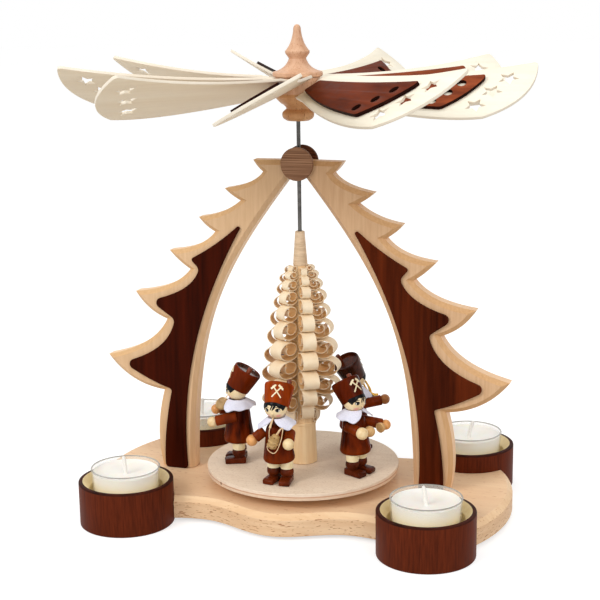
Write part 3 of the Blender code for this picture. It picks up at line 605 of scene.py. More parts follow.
def tube(name, path, radii, sides=12):
    """Round bar along a line of points, with a radius for each."""
    line = [Vector(point) for point in path]
    normal = (line[1] - line[0]).normalized().orthogonal()
    angles = [2 * math.pi * side / sides for side in range(sides)]
    loops = []
    for index, (point, radius) in enumerate(zip(line, radii)):
        way = (line[min(index + 1, len(line) - 1)] - line[max(index - 1, 0)]).normalized()
        normal = (normal - way * normal.dot(way)).normalized()
        other = way.cross(normal)
        loops.append([point + radius * (normal * math.cos(a) + other * math.sin(a)) for a in angles])
    bm = bmesh.new()
    skin(bm, loops)
    return finish_mesh(name, bm, 50.0)


def ball(centre, radius, fine=24):
    bm = bmesh.new()
    bmesh.ops.create_uvsphere(bm, u_segments=fine, v_segments=fine // 2 + 2, radius=radius)
    bmesh.ops.translate(bm, vec=centre, verts=bm.verts[:])
    return finish_mesh("ball", bm, 80.0)


def paint(mesh, index, holds):
    """Give a material, by its number, to the faces for which holds(centre, normal) is true."""
    for face in mesh.polygons:
        if holds(face.center, face.normal):
            face.material_index = index


def add(name, mesh, finishes, body, slot, stands_for=(), matrix=None):
    """Link a mesh as a piece of the object."""
    piece = linked(name, mesh)
    if matrix is not None:
        piece.matrix_world = matrix
    if not mesh.materials:
        for finish in finishes:
            mesh.materials.append(finish)
    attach(piece, body)
    if stands_for:
        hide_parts(*stands_for)
    return piece


# Stand

def base_front_edge(x):
    """Half depth of the base beside the shaft: a belly that runs into two valleys."""
    across = abs(x)
    if across < BASE_VALLEY_X:
        swing = 0.5 * (1 + math.cos(math.pi * across / BASE_VALLEY_X))
        return BASE_VALLEY + (BASE_BELLY - BASE_VALLEY) * swing
    rise = (across - BASE_VALLEY_X) / (BASE_SHOULDER_X - BASE_VALLEY_X)
    return BASE_VALLEY + (BASE_SHOULDER - BASE_VALLEY) * rise * rise


def base_outline():
    """Whole outline of the base and, for each edge, whether it is chamfered."""
    nest = HOLDER_RADIUS + GAP
    way = Vector((HOLDER_X - BASE_END_CENTRE, HOLDER_Y))
    spread = (BASE_END_RADIUS ** 2 + way.length_squared - nest ** 2) / (2 * BASE_END_RADIUS * way.length)
    meet = math.atan2(way.y, way.x) - math.acos(spread)
    points = arc((BASE_END_CENTRE, 0), BASE_END_RADIUS, 0.0, meet, 20)
    first = math.atan2(points[-1][1] - HOLDER_Y, points[-1][0] - HOLDER_X)
    last = math.atan2(BASE_SHOULDER - HOLDER_Y, BASE_SHOULDER_X - HOLDER_X)
    nest_start = len(points) - 1
    points += arc((HOLDER_X, HOLDER_Y), nest, first, last, 28)[1:]
    nest_end = len(points) - 1
    edge_steps = 30
    for step in range(1, edge_steps + 1):
        x = BASE_SHOULDER_X * (1 - step / edge_steps)
        points.append((x, base_front_edge(x)))
    open_edges = [0.0 if nest_start <= index < nest_end else 1.0 for index in range(len(points) - 1)]
    outline = points[:-1]
    outline += [(-x, y) for x, y in reversed(points)][:-1]
    outline += [(-x, -y) for x, y in points][:-1]
    outline += [(x, -y) for x, y in reversed(points)][:-1]
    return outline, open_edges + open_edges[::-1] + open_edges + open_edges[::-1]


def make_base():
    outline, edges = base_outline()
    soft, ease = 0.0002, 0.0004
    steps = [(ease, BASE_BOTTOM), (0.0, BASE_BOTTOM + ease), (0.0, BASE_TOP - BASE_CHAMFER - soft),
             (0.7 * soft, BASE_TOP - BASE_CHAMFER + 0.7 * soft),
             (BASE_CHAMFER - 0.7 * soft, BASE_TOP - 0.7 * soft), (BASE_CHAMFER + soft, BASE_TOP)]
    mesh = lofted("base_plate", outline, edges, steps, lambda point, level: (*point, level), 20.0)
    paint(mesh, 1, lambda centre, normal: abs(normal.z) < 0.5)
    paint(mesh, 2, lambda centre, normal: 0.5 < normal.z < 0.9)
    add("base", mesh, [BEECH, BEECH_SIDE, BEECH_BEVEL], "stand", "base_beech", ["base_plate"])


def corner_place(corner):
    side = 1 if corner.endswith("right") else -1
    front = -1 if corner.startswith("front") else 1
    return Matrix.Translation((side * HOLDER_X, front * HOLDER_Y, 0))


def make_holders():
    rim = 0.0008
    outside = rounded([(0, 0), (HOLDER_RADIUS, 0), (HOLDER_RADIUS, HOLDER_HEIGHT),
                       (HOLDER_LIP, HOLDER_HEIGHT)], rim)
    inside = [(HOLDER_BORE, HOLDER_HEIGHT - HOLDER_LIP_DEPTH), (HOLDER_BORE, HOLDER_FLOOR), (0, HOLDER_FLOOR)]
    mesh = turned("holder", outside + inside, 128)
    paint(mesh, 1, lambda centre, normal: centre.xy.length < HOLDER_LIP and centre.z > 0.5 * HOLDER_FLOOR)
    paint(mesh, 2, lambda centre, normal: centre.xy.length > HOLDER_LIP and centre.z > HOLDER_HEIGHT - rim)
    for corner in CORNERS:
        add("holder_" + corner, mesh, [STAIN, STAIN_INSIDE, STAIN_RIM], "stand", "holder_stain",
            ["candle_holder_" + corner], corner_place(corner))


def make_tealights():
    foot = HOLDER_FLOOR + GAP
    floor = foot + CUP_WALL
    inner = CUP_RADIUS - CUP_WALL
    inner_foot = CUP_FOOT_RADIUS - CUP_WALL
    rim = 0.0005
    cup = turned("cup", [(0, foot), (CUP_FOOT_RADIUS - 0.001, foot), (CUP_FOOT_RADIUS, foot + 0.001),
                         (CUP_RADIUS, CUP_RIM - rim), (CUP_RADIUS + 0.0002, CUP_RIM - 0.5 * rim),
                         (CUP_RADIUS, CUP_RIM), (inner, CUP_RIM), (inner - 0.0001, CUP_RIM - rim),
                         (inner_foot, floor), (0, floor)])
    paint(cup, 1, lambda centre, normal: centre.z > CUP_RIM - rim)
    fill = inner - GAP
    brim = WAX_TOP + WAX_DISH
    dish = bezier([(fill, brim), (0.78 * fill, WAX_TOP), (0.25 * fill, WAX_TOP)], 12)
    wax = turned("wax", [(0, floor + GAP), (inner_foot - GAP, floor + GAP), (fill, brim)] + dish
                 + [(0, WAX_TOP)])
    for corner in CORNERS:
        lean_x, lean_y = WICK_LEANS[corner]
        path = through([(share * lean_x, share * lean_y, WAX_TOP + height) for share, height in WICK_LINE], 4)
        radii = [WICK_RADIUS] * (len(path) - 2) + [0.9 * WICK_RADIUS, 0.6 * WICK_RADIUS]
        for part, mesh, finishes, slot in (("cup", cup, [CUP, CUP_EDGE], "tealight_cup"),
                                           ("wax", wax, [WAX], "tealight_wax"),
                                           ("wick", tube("wick", path, radii), [COTTON], "wick_cotton")):
            add("%s_%s" % (part, corner), mesh, finishes, "tealight_" + corner, slot,
                ["tealight_%s_%s" % (part, corner)], corner_place(corner))


def branch_edge(start, tip, notch, belly, sweep, steps):
    """One branch: a hollow sweep out to its tip, and a bellied underside back to the notch."""
    reach = (start[0] + sweep[0] * (tip[0] - start[0]), tip[1] + sweep[1] * (start[1] - tip[1]))
    points = bezier([start, reach, tip], steps)
    chord = Vector(notch) - Vector(tip)
    middle = (Vector(notch) + Vector(tip)) / 2
    sag = Vector((-chord.y, chord.x)) * belly
    return points + bezier([tip, middle + sag, notch], steps)


def arch_outline():
    """Right arch in the XZ plane, anticlockwise, and whether each edge is bevelled."""
    outer = [(ARCH_END_X, ARCH_TOP)]
    for tip, notch, belly, sweep in zip(ARCH_TIPS, ARCH_NOTCHES, BRANCH_BELLY, BRANCH_SWEEP):
        outer += branch_edge(outer[-1], tip, notch, belly, sweep, 14)
    outer += bezier([outer[-1], LEG_BULGE, (ARCH_FOOT_X, BASE_TOP)], 16)
    outline = [ARCH_INNER[0]] + bezier(ARCH_INNER, 60) + outer[::-1]
    bevelled = []
    for here, after in zip(outline, outline[1:] + outline[:1]):
        on_foot = here[1] == BASE_TOP and after[1] == BASE_TOP
        on_joint = here[0] == ARCH_END_X and after[0] == ARCH_END_X
        bevelled.append(0.0 if on_foot or on_joint else 1.0)
    return [(x, max(z, BASE_TOP + GAP)) for x, z in outline], bevelled


def upright(side):
    """Put an (x, z) outline upright, mirrored for the left side."""
    return lambda point, level: (side * point[0], level, point[1])


def make_arches():
    outline, edges = arch_outline()
    half = ARCH_THICKNESS / 2
    ease = 0.0006
    steps = [(ARCH_CHAMFER, -half), (0.0, -half + ARCH_CHAMFER), (0.0, half - ease), (ease, half)]
    for hand, side, faces in (("left", -1, MAPLE_LEFT), ("right", 1, MAPLE_RIGHT)):
        mesh = lofted("arch_" + hand, outline, edges, steps, upright(side), 24.0)
        # Outer bevels get the painted shade, and the edges the painted light.
        paint(mesh, 1, lambda centre, normal: -0.95 < normal.y < -0.3 and side * normal.x > -0.2)
        paint(mesh, 2, lambda centre, normal: abs(normal.y) < 0.3)
        add("arch_board_" + hand, mesh, faces, "stand", "arch_maple", ["arch_" + hand])


def make_arch_inlays():
    outer = [INLAY_INNER[0]]
    for tip, notch, upper, under in zip(INLAY_TIPS, INLAY_NOTCHES, INLAY_UPPER, INLAY_UNDER):
        outer += bezier([outer[-1], upper, tip], 20)
        outer += bezier([tip, under, notch], 16)
    outer += bezier([outer[-1], INLAY_LEG, (INLAY_FOOT_X, BASE_TOP)], 12)
    outline = [(x, max(z, BASE_TOP + GAP)) for x, z in bezier(INLAY_INNER, 48) + outer[::-1]]
    outline = fillet(outline, INLAY_ROUND, INLAY_TIP_ROUND)
    near = ARCH_THICKNESS / 2 + GAP
    far = near + INLAY_THICKNESS
    for face, way in (("front", -1), ("back", 1)):
        steps = [(0.0, way * near), (0.0, way * (far - INLAY_EASE)), (INLAY_EASE, way * far)]
        for hand, side, finish in (("left", -1, DARK_LEFT), ("right", 1, DARK_RIGHT)):
            name = "inlay_%s_%s" % (face, hand)
            mesh = lofted(name, outline, [1.0] * len(outline), steps, upright(side), 30.0)
            add(name, mesh, [finish], "stand", "dark_stain", ["arch_" + name])


def make_guide():
    profile = rounded([(0, 0), (DISC_RADIUS, 0), (DISC_RADIUS, DISC_THICKNESS), (0, DISC_THICKNESS)], 0.0004)
    face = ARCH_THICKNESS / 2 + GAP
    for name, way, across, finish, slot in (("front", -1, FRONT_DISC_X, DISC, "disc_wood"),
                                            ("back", 1, 0.0, DISC_BACK, "dark_stain")):
        mesh = moved(turned("disc_" + name, profile, 72), Matrix.Rotation(-way * math.pi / 2, 4, "X"))
        add("disc_" + name, mesh, [finish], "stand", slot, ["guide_disc_" + name],
            Matrix.Translation((across, way * face, DISC_HEIGHT)))
    for node in ("guide_bush", "bearing_cup"):
        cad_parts[node].data.materials.clear()
        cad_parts[node].data.materials.append(BRASS)


# Carousel

def make_shaft_and_hub():
    shaft = turned("shaft_rod", [(0, 0.0098), (0.0011, 0.0120), (0.0011, 0.2500), (0, 0.2500)], 24)
    add("shaft_rod", shaft, [STEEL], "carousel", "shaft_steel", ["shaft"])
    bore = 0.0016
    neck = bezier([(0.0093, 0.2284), (0.0066, 0.2272), (0.0064, 0.2254)], 8)
    bead = through([(0.0064, 0.2254), (0.0083, 0.2238), (0.0087, 0.2222), (0.0081, 0.2204),
                    (0.0062, 0.2191)], 5)
    profile = [(bore, HUB_TOP), (HUB_RADIUS, HUB_TOP), (HUB_RADIUS, 0.2338), (0.0126, 0.2322),
               (0.0122, 0.2314), (0.0093, 0.2284)] + neck + bead[1:]
    hub = turned("hub", profile + [(bore, 0.2191)], sharp=24.0)
    # The hub below the blades gets the painted shade.
    paint(hub, 1, lambda centre, normal: centre.z < 0.2330)
    add("hub", hub, [HUB, HUB_PAINTED_SHADE], "carousel", "hub_beech", ["hub_body"])
    low = HUB_TOP + GAP
    profile = [(0, 0.2503), (bore, 0.2503), (bore, low), (0.0131, low), (0.0136, low + 0.0006),
               (0.0136, 0.2447), (0.0131, 0.2454)]
    profile += bezier([(0.0131, 0.2454), (0.0066, 0.2466), (0.0047, 0.2522)], 14)
    profile += [(0.0048, 0.2526), (0.0066, 0.2552), (0.0067, 0.2562)]
    profile += bezier([(0.0067, 0.2562), (0.0030, 0.2600), (0.0021, 0.2672)], 14)
    profile += bezier([(0.0021, 0.2672), (0.0021, 0.2694), (0.0011, 0.2703), (0.0, 0.2703)], 8)
    add("finial", turned("finial", profile, sharp=24.0), [HUB], "carousel", "hub_beech", ["finial_cap"])


def blade_matrix(index):
    angle = BLADE_START + index * 2 * math.pi / BLADE_COUNT + math.radians(BLADE_TURNS[index])
    pitch = Matrix.Rotation(math.radians(BLADE_PITCHES[index]), 4, "X")
    return Matrix.Translation((0, 0, BLADE_HEIGHT)) @ Matrix.Rotation(angle, 4, "Z") @ pitch


def blade_root():
    """Root edge that hugs the hub, with the tenon in its middle."""
    def beside_hub(across):
        level = across * math.cos(math.radians(max(BLADE_PITCHES)))
        return math.sqrt((HUB_RADIUS + 2 * GAP) ** 2 - level * level)
    shoulder = HUB_RADIUS + 3 * GAP
    low = [(beside_hub(y) + GAP, y) for y in (BLADE_ROOT_LOW, 0.7 * BLADE_ROOT_LOW)]
    tenon = [(shoulder, -TENON_HALF_WIDTH), (TENON_START, -TENON_HALF_WIDTH),
             (TENON_START, TENON_HALF_WIDTH), (shoulder, TENON_HALF_WIDTH)]
    high = [(beside_hub(y) + GAP, y) for y in (0.7 * BLADE_ROOT_HIGH, BLADE_ROOT_HIGH)]
    return low + tenon + high


def star(centre):
    points = []
    for corner in range(10):
        radius = STAR_RADIUS if corner % 2 == 0 else STAR_INNER
        angle = corner * math.pi / 5
        points.append((centre[0] + radius * math.cos(angle), centre[1] + radius * math.sin(angle)))
    return points


def make_rotor():
    outline = blade_root() + [BLADE_HIGH_EDGE[0]]
    for edge in (BLADE_HIGH_EDGE, BLADE_TIP, BLADE_LOW_EDGE):
        outline += bezier(edge, 24)
    corner = outline.index(BLADE_TIP[0])
    points = [Vector(point) for point in outline]
    start, before = walk(points, corner, -1, BLADE_TIP_ROUND)
    end, after = walk(points, corner, 1, BLADE_TIP_ROUND)
    first, last = corner - len(before), corner + len(after)
    outline[first:last + 1] = [tuple(start)] + bezier([start, points[corner], end], 8)
    cover_outline = []
    for edge in OVERLAY_EDGES:
        cover_outline += [edge[0]] + bezier(edge, 20)
    blade = pierced("blade", outline, [star(place) for place in BLADE_STARS], BLADE_THICKNESS, BLADE_EASE)
    paint(blade, 1, lambda centre, normal: abs(normal.z) < 0.5)
    # Underside faces get the painted shade.
    paint(blade, 2, lambda centre, normal: normal.z < -0.5)
    rounds = [arc(place, HOLE_RADIUS, 0, 2 * math.pi, 28)[:-1] for place in OVERLAY_HOLES]
    covers = {}
    for finish in (OVERLAY, OVERLAY_PAINTED_LIGHT):
        cover = pierced("overlay", fillet(cover_outline, OVERLAY_ROUND), rounds, OVERLAY_THICKNESS,
                        OVERLAY_EASE)
        paint(cover, 1, lambda centre, normal: abs(normal.z) < 0.8)
        covers[finish] = cover
    lift = BLADE_THICKNESS / 2 + GAP + OVERLAY_THICKNESS / 2
    for number in range(1, BLADE_COUNT + 1):
        breadth, rise, droop = BLADE_FITS.get(number, (1.0, 0.0, 0.0))
        fit = Matrix.Rotation(math.radians(droop), 4, "Y") @ Matrix.Diagonal((1.0, breadth, 1.0, 1.0))
        matrix = blade_matrix(number - 1) @ fit
        matrix.translation.z += rise
        add("rotor_blade_%d" % number, blade, [BLADE, BLADE_SIDE, BLADE_UNDERSIDE_SHADE], "carousel",
            "blade_plywood", ["blade_%d" % number], matrix)
        shift = Matrix.Translation((-OVERLAY_SET_IN.get(number, 0.0), 0, lift))
        # Painted light on the chosen blades' overlays.
        finish = OVERLAY_PAINTED_LIGHT if number in OVERLAYS_WITH_PAINTED_LIGHT else OVERLAY
        add("rotor_overlay_%d" % number, covers[finish], [finish, OVERLAY_SIDE], "carousel", "dark_stain",
            ["blade_inlay_%d" % number], matrix @ shift)


def make_turntable():
    profile = rounded([(0.0015, TURNTABLE_BOTTOM), (TURNTABLE_RADIUS, TURNTABLE_BOTTOM),
                       (TURNTABLE_RADIUS, TURNTABLE_TOP), (0.0015, TURNTABLE_TOP)], 0.0004)
    mesh = turned("table", profile, 160)
    paint(mesh, 1, lambda centre, normal: abs(normal.z) < 0.5)
    add("table", mesh, [TURNTABLE, TURNTABLE_EDGE], "carousel", "turntable_plywood", ["turntable"])


# Ring tree

TREE_COLUMNS = 6
TREE_START = math.radians(-57.4)
CURLS_EVEN = [0.1360, 0.1313, 0.1252, 0.1174, 0.1083, 0.0979, 0.0870, 0.0763, 0.0659, 0.0570]
CURLS_ODD = [0.1375, 0.1340, 0.1286, 0.1217, 0.1131, 0.1035, 0.0923, 0.0816, 0.0710, 0.0608, 0.0530]
TREE_REACH = [(0.053, 0.0096), (0.061, 0.0170), (0.071, 0.0210), (0.077, 0.0223), (0.085, 0.0213),
              (0.092, 0.0200), (0.100, 0.0187), (0.109, 0.0170), (0.117, 0.0152), (0.125, 0.0133),
              (0.132, 0.0112), (0.138, 0.0075)]
CURL_WIDTH = [(0.057, 0.0073), (0.066, 0.0085), (0.076, 0.0088), (0.087, 0.0088), (0.098, 0.0075),
              (0.108, 0.0068), (0.117, 0.0060), (0.125, 0.0049), (0.131, 0.0044), (0.136, 0.0033)]
CURL_THICKNESS = 0.00045
TRUNK_LINE = [(0.0247, 0.0084), (0.0480, 0.0074), (0.1390, 0.0038)]


def curl_path(centre, half, reach, trunk):
    """One shaving in the radial plane: down the trunk, out, up, over the top and in again."""
    middle = (trunk + reach) / 2
    wide = (reach - trunk) / 2
    path = [(trunk + 0.0002, centre + 0.80 * half), (trunk + 0.0001, centre + 0.30 * half)]
    first, last, steps = math.radians(200), math.radians(760), 56
    for step in range(steps + 1):
        angle = first + (last - first) * step / steps
        inward = min(1.0, max(0.0, (math.degrees(angle) - 430) / 130))
        inward = inward * inward * (3 - 2 * inward)
        size = 1.0 - 0.46 * inward
        path.append((middle - 0.12 * wide * inward + size * wide * math.cos(angle),
                     centre + 0.10 * half * inward + size * 0.94 * half * math.sin(angle)))
    return path


def ribbon(bm, path, width, place_point):
    """Strip with thickness along a path in the radial plane. The side towards the curl's middle
    gets the second material, a copy of the shaving with painted shade."""
    loops = []
    for index, point in enumerate(path):
        here = Vector(point)
        way = Vector(path[min(index + 1, len(path) - 1)]) - Vector(path[max(index - 1, 0)])
        side = Vector((-way.y, way.x)).normalized() * CURL_THICKNESS / 2
        corners = [(here - side, -1), (here - side, 1), (here + side, 1), (here + side, -1)]
        loops.append([place_point(spot, across * width / 2) for spot, across in corners])
    for corner, face in skin(bm, loops):
        face.material_index = int(corner == 2)


def make_ring_tree():
    pole = [(0.0015, 0.0247), (0.0084, 0.0247), (0.0076, 0.0470), (0.0081, 0.0474), (0.0081, 0.0486),
            (0.0074, 0.0490), (0.0038, 0.1390), (0.0015, 0.1390)]
    trunk = turned("tree_trunk", pole, 12, 12.0)
    add("tree_trunk", trunk, [TRUNK], "carousel", "tree_shaving", ["ring_tree"])
    stub = [(0.0015, 0.1390)]
    rings, groove, ridge = 40, 0.00012, 0.00022
    low_radius, taper, foot, tall = 0.0041, 0.0014, 0.1391, 0.0186
    for share in [ring / rings for ring in range(rings)]:
        radius = low_radius - taper * share
        level = foot + tall * share
        stub += [(radius - groove, level), (radius, level + ridge)]
    stub += [(0.0027, 0.1577), (0.0023, 0.1581), (0.0015, 0.1581)]
    add("tree_top", turned("tree_top", stub, 40, 60.0), [STUB], "carousel", "tree_shaving")
    for column in range(TREE_COLUMNS):
        angle = TREE_START + column * 2 * math.pi / TREE_COLUMNS
        out = Vector((math.cos(angle), math.sin(angle), 0))
        side = Vector((-math.sin(angle), math.cos(angle), 0))
        levels = CURLS_ODD if column % 2 else CURLS_EVEN
        bm = bmesh.new()
        for index, level in enumerate(levels):
            above = levels[index - 1] - level if index else level - levels[1]
            below = level - levels[index + 1] if index < len(levels) - 1 else above
            half = 0.25 * (above + below) * chance.uniform(0.97, 1.03)
            reach = lookup(TREE_REACH, level) * chance.uniform(0.98, 1.02)
            width = lookup(CURL_WIDTH, level) * chance.uniform(0.96, 1.04)
            slant = chance.uniform(-0.05, 0.05)

            def place_point(spot, across):
                rise = Vector((0, 0, spot[1] + slant * across))
                return out * spot[0] + side * across + rise
            ribbon(bm, curl_path(level, half, reach, lookup(TRUNK_LINE, level)), width, place_point)
        mesh = finish_mesh("curls", bm, 40.0)
        add("curls_" + str(column + 1), mesh, [SHAVING, SHAVING_INSIDE_SHADE], "carousel", "tree_shaving")


# Miners. Their sizes are in millimetres: F forward, L to their left, and Z above the turntable

HEAD_CENTRE, HEAD_RADIUS = (0.6, 0.0, 43.0), 6.4
HAT_TILT = math.radians(31.0)
HAT_LOW_RADIUS, HAT_FLARE = 6.85, 1.3 / 11.2
EMBLEM_LEVEL, EMBLEM_THICKNESS = 7.2, 0.3
LEG_SPREAD, SHOE_TURN = 3.8, math.radians(7)
SHOE_SIDE = [(-3.8, 0.2), (7.9, 0.2), (8.2, 2.4), (7.0, 3.2), (-3.8, 3.9)]
BOOT_LEG = [(0, 3.4), (2.7, 3.4), (2.75, 4.1), (3.5, 4.6), (3.85, 5.6), (3.85, 7.0), (3.5, 8.0), (2.9, 8.5),
            (0, 8.6)]
COAT_LINE = [(6.9, 12.2), (8.1, 12.6), (8.7, 13.8), (8.6, 15.4), (8.2, 18.0), (7.5, 22.0), (7.0, 26.0),
             (6.6, 29.5), (5.8, 32.0), (4.2, 33.6)]


def mm(*values):
    return Vector([0.001 * value for value in values])


def turned_mm(name, points, steps, sharp=35.0):
    """Turned piece with its profile in millimetres."""
    return turned(name, [(0.001 * radius, 0.001 * height) for radius, height in points], steps, sharp)


# The hat's own axis, from the middle of the head
HAT_PLACE = Matrix.Translation(mm(*HEAD_CENTRE)) @ Matrix.Rotation(-HAT_TILT, 4, "Y")


def head_direction(yaw, pitch):
    """Direction from the middle of the head, in degrees to the left and up from straight ahead."""
    yaw, pitch = math.radians(yaw), math.radians(pitch)
    return Vector((math.cos(yaw) * math.cos(pitch), math.sin(yaw) * math.cos(pitch), math.sin(pitch)))


def face_look():
    """Head wood with painted eyes, brows, fringe, cheeks and mouth, and a painted shadow under the nose, in
    the figure's own coordinates.
    """
    look = Look("face", 0.26, 0.15)
    mottle = look.noise((260, 260, 260), 3.0)
    spot = look.vector("SUBTRACT", look.place, mm(*HEAD_CENTRE))

    def oval(yaw, pitch, width, height, lean=0.0):
        """Distance from a place on the face; it is 1 at the edge of an oval of this half width and height."""
        way = head_direction(yaw, pitch)
        level = Vector((-way.y, way.x, 0)).normalized()
        upright_axis = way.cross(level)
        turn = math.radians(lean)
        across = level * math.cos(turn) + upright_axis * math.sin(turn)
        up = upright_axis * math.cos(turn) - level * math.sin(turn)
        offset = look.vector("SUBTRACT", spot, way * 0.001 * HEAD_RADIUS)
        shares = [look.vector("DOT_PRODUCT", offset, axis * (1000 / size))
                  for axis, size in ((across, width), (up, height), (way, 3.0))]
        return look.vector("LENGTH", look.add("CombineXYZ", *shares).outputs["Vector"], (0, 0, 0))

    dabs = []
    for side in (-1, 1):
        dabs += [(oval(side * 35, -37, 2.5, 1.5), 0.2, 1.0, 0.9, (238, 152, 140)),
                 (oval(side * 30, -3, 1.45, 1.10), 0.85, 1.1, 1.0, (22, 16, 14)),
                 (oval(side * 30, -5, 1.15, 0.70), 0.85, 1.1, 1.0, (246, 240, 230)),
                 (oval(side * 28, -4, 0.84, 0.92), 0.85, 1.1, 1.0, (12, 9, 9)),
                 (oval(side * 31, 13, 1.60, 0.26, side * 8), 0.8, 1.1, 0.9, (28, 19, 16))]
    for yaw, pitch in ((0, 15), (10, 13), (18, 19)):
        dabs.append((oval(yaw, pitch, 0.45, 2.4, -28), 0.8, 1.1, 1.0, (12, 10, 10)))
    # Painted shadow under the nose.
    dabs.append((oval(0, -29, 0.90, 0.40), 0.6, 1.1, 0.8, (176, 138, 82)))
    dabs.append((oval(0, -43, 0.80, 0.34), 0.7, 1.1, 0.9, (150, 52, 38)))
    colour = look.tones(mottle, (0.35, (241, 213, 164)), (0.65, (250, 228, 186)))
    for distance, inner, outer, strength, tint in dabs:
        colour = look.mix(look.span(distance, inner, outer, strength, 0.0), colour, linear(*tint))
    return look.finish(colour, mottle, 0.04, 0.05)


def boots_mesh():
    meshes = []
    for side in (-1, 1):
        bm = bmesh.new()
        skin(bm, [[mm(forward, across, height) for forward, height in SHOE_SIDE] for across in (-3.0, 3.0)])
        bmesh.ops.recalc_face_normals(bm, faces=bm.faces[:])
        bmesh.ops.bevel(bm, geom=bm.edges[:], offset=0.00045, segments=3, profile=0.5, affect="EDGES")
        matrix = Matrix.Translation(mm(0, side * LEG_SPREAD, 0)) @ Matrix.Rotation(side * SHOE_TURN, 4, "Z")
        for mesh in (finish_mesh("shoe", bm, 40.0), turned_mm("boot_leg", BOOT_LEG, 32, 50.0)):
            meshes.append(moved(mesh, matrix))
    return joined("boots", meshes)


def trousers_mesh():
    meshes = []
    for side in (-1, 1):
        mesh = turned_mm("leg", [(0, 8.3), (3.4, 8.3), (3.65, 8.9), (3.65, 14.4), (0, 14.4)], 32)
        meshes.append(moved(mesh, Matrix.Translation(mm(0, side * LEG_SPREAD, 0))))
    return joined("trousers", meshes)


def coat_mesh():
    return turned_mm("coat", [(0, COAT_LINE[0][1])] + through(COAT_LINE, 5) + [(0, 34.0)], 56)


def shell(name, inner, outer):
    """Closed sheet between two grids of points of the same size."""
    bm = bmesh.new()
    lower, upper = [[[bm.verts.new(point) for point in row] for row in grid] for grid in (inner, outer)]
    strips = list(zip(lower, lower[1:])) + list(zip(upper, upper[1:]))
    for end in (0, -1):
        strips.append((lower[end], upper[end]))
        strips.append(([row[end] for row in lower], [row[end] for row in upper]))
    for near, far in strips:
        for corners in zip(near, near[1:], far[1:], far):
            bm.faces.new(corners)
    return finish_mesh(name, bm, 60.0)


def round_grid(levels, yaws, spot, lift):
    """Rows of points: spot takes the share of the way down, the share of the way round, and lift."""
    return [[spot(down / levels, turn / yaws, lift) for turn in range(yaws + 1)]
            for down in range(levels + 1)]


def collar_mesh():
    """Felt cape with a slit in front that opens into a V between two rounded lobes."""
    slit_neck, slit_hem = math.radians(4), math.radians(32)
    neck_radius, neck_height, length, drop = 4.6, 36.9, 5.6, 4.3

    def spot(down, share, lift):
        slit = slit_neck + (slit_hem - slit_neck) * down
        yaw = slit + (2 * math.pi - 2 * slit) * share
        from_slit = min(yaw, 2 * math.pi - yaw) - slit
        corner = 0.30 * max(0.0, 1.0 - from_slit / 0.45) ** 2
        reach = down * (1.0 + 0.04 * math.cos(6 * yaw) - corner)
        radius = neck_radius + length * reach + 0.6 * lift
        fold = 0.35 * reach * reach * math.cos(9 * yaw)
        height = neck_height - drop * reach ** 1.15 - 0.9 * reach * math.cos(yaw) + fold + lift
        return mm(0.5 + radius * math.cos(yaw), radius * math.sin(yaw), height)

    return shell("collar", *[round_grid(10, 84, spot, lift) for lift in (0.0, 0.5)])


def head_mesh():
    nose = head_direction(0, -22) * HEAD_RADIUS + Vector(HEAD_CENTRE)
    skull = ball(mm(*HEAD_CENTRE), 0.001 * HEAD_RADIUS, 48)
    return joined("head", [skull, ball(mm(*nose), 0.00065)], 80.0)


def hat_mesh():
    line = through([(6.8, 1.0), (7.25, 4.5), (7.75, 8.5), (8.1, 11.6), (8.05, 12.6), (7.75, 13.05)], 5)
    top = [(7.35, 13.0), (7.2, 12.6), (7.1, 11.6), (0, 11.6)]
    mesh = turned_mm("hat", [(0, 0.6), (6.6, 0.6)] + line + top, 64, 40.0)
    paint(mesh, 1, lambda centre, normal: centre.z > 0.0115 and centre.xy.length < 0.0072)
    return moved(mesh, HAT_PLACE)


def band_mesh():
    """Black hair that hugs the head under the front of the hat, longer at the temples."""
    top, end_yaw = 0.8, 80

    def spot(down, share, lift):
        degrees = -end_yaw + 2 * end_yaw * share
        yaw = math.radians(degrees)
        side = min(1.0, max(0.0, (abs(degrees) - 20) / 40))
        end = min(1.0, (end_yaw - abs(degrees)) / 14)
        level = top - down * end * (1.9 + 1.5 * side + 0.25 * math.cos(10 * yaw))
        radius = math.sqrt((HEAD_RADIUS + lift * (1 - 0.6 * down ** 4)) ** 2 - level ** 2)
        return mm(radius * math.cos(yaw), radius * math.sin(yaw), level)

    return moved(shell("hair", *[round_grid(8, 72, spot, lift) for lift in (-0.2, 0.3)]), HAT_PLACE)


def peg_mesh():
    profile = rounded([(0, 11.2), (1.35, 11.2), (1.35, 16.2), (0, 16.2)], 0.9, 5)
    return moved(turned_mm("peg", profile, 24), HAT_PLACE @ Matrix.Translation(mm(-0.4, 5.3, 0)))


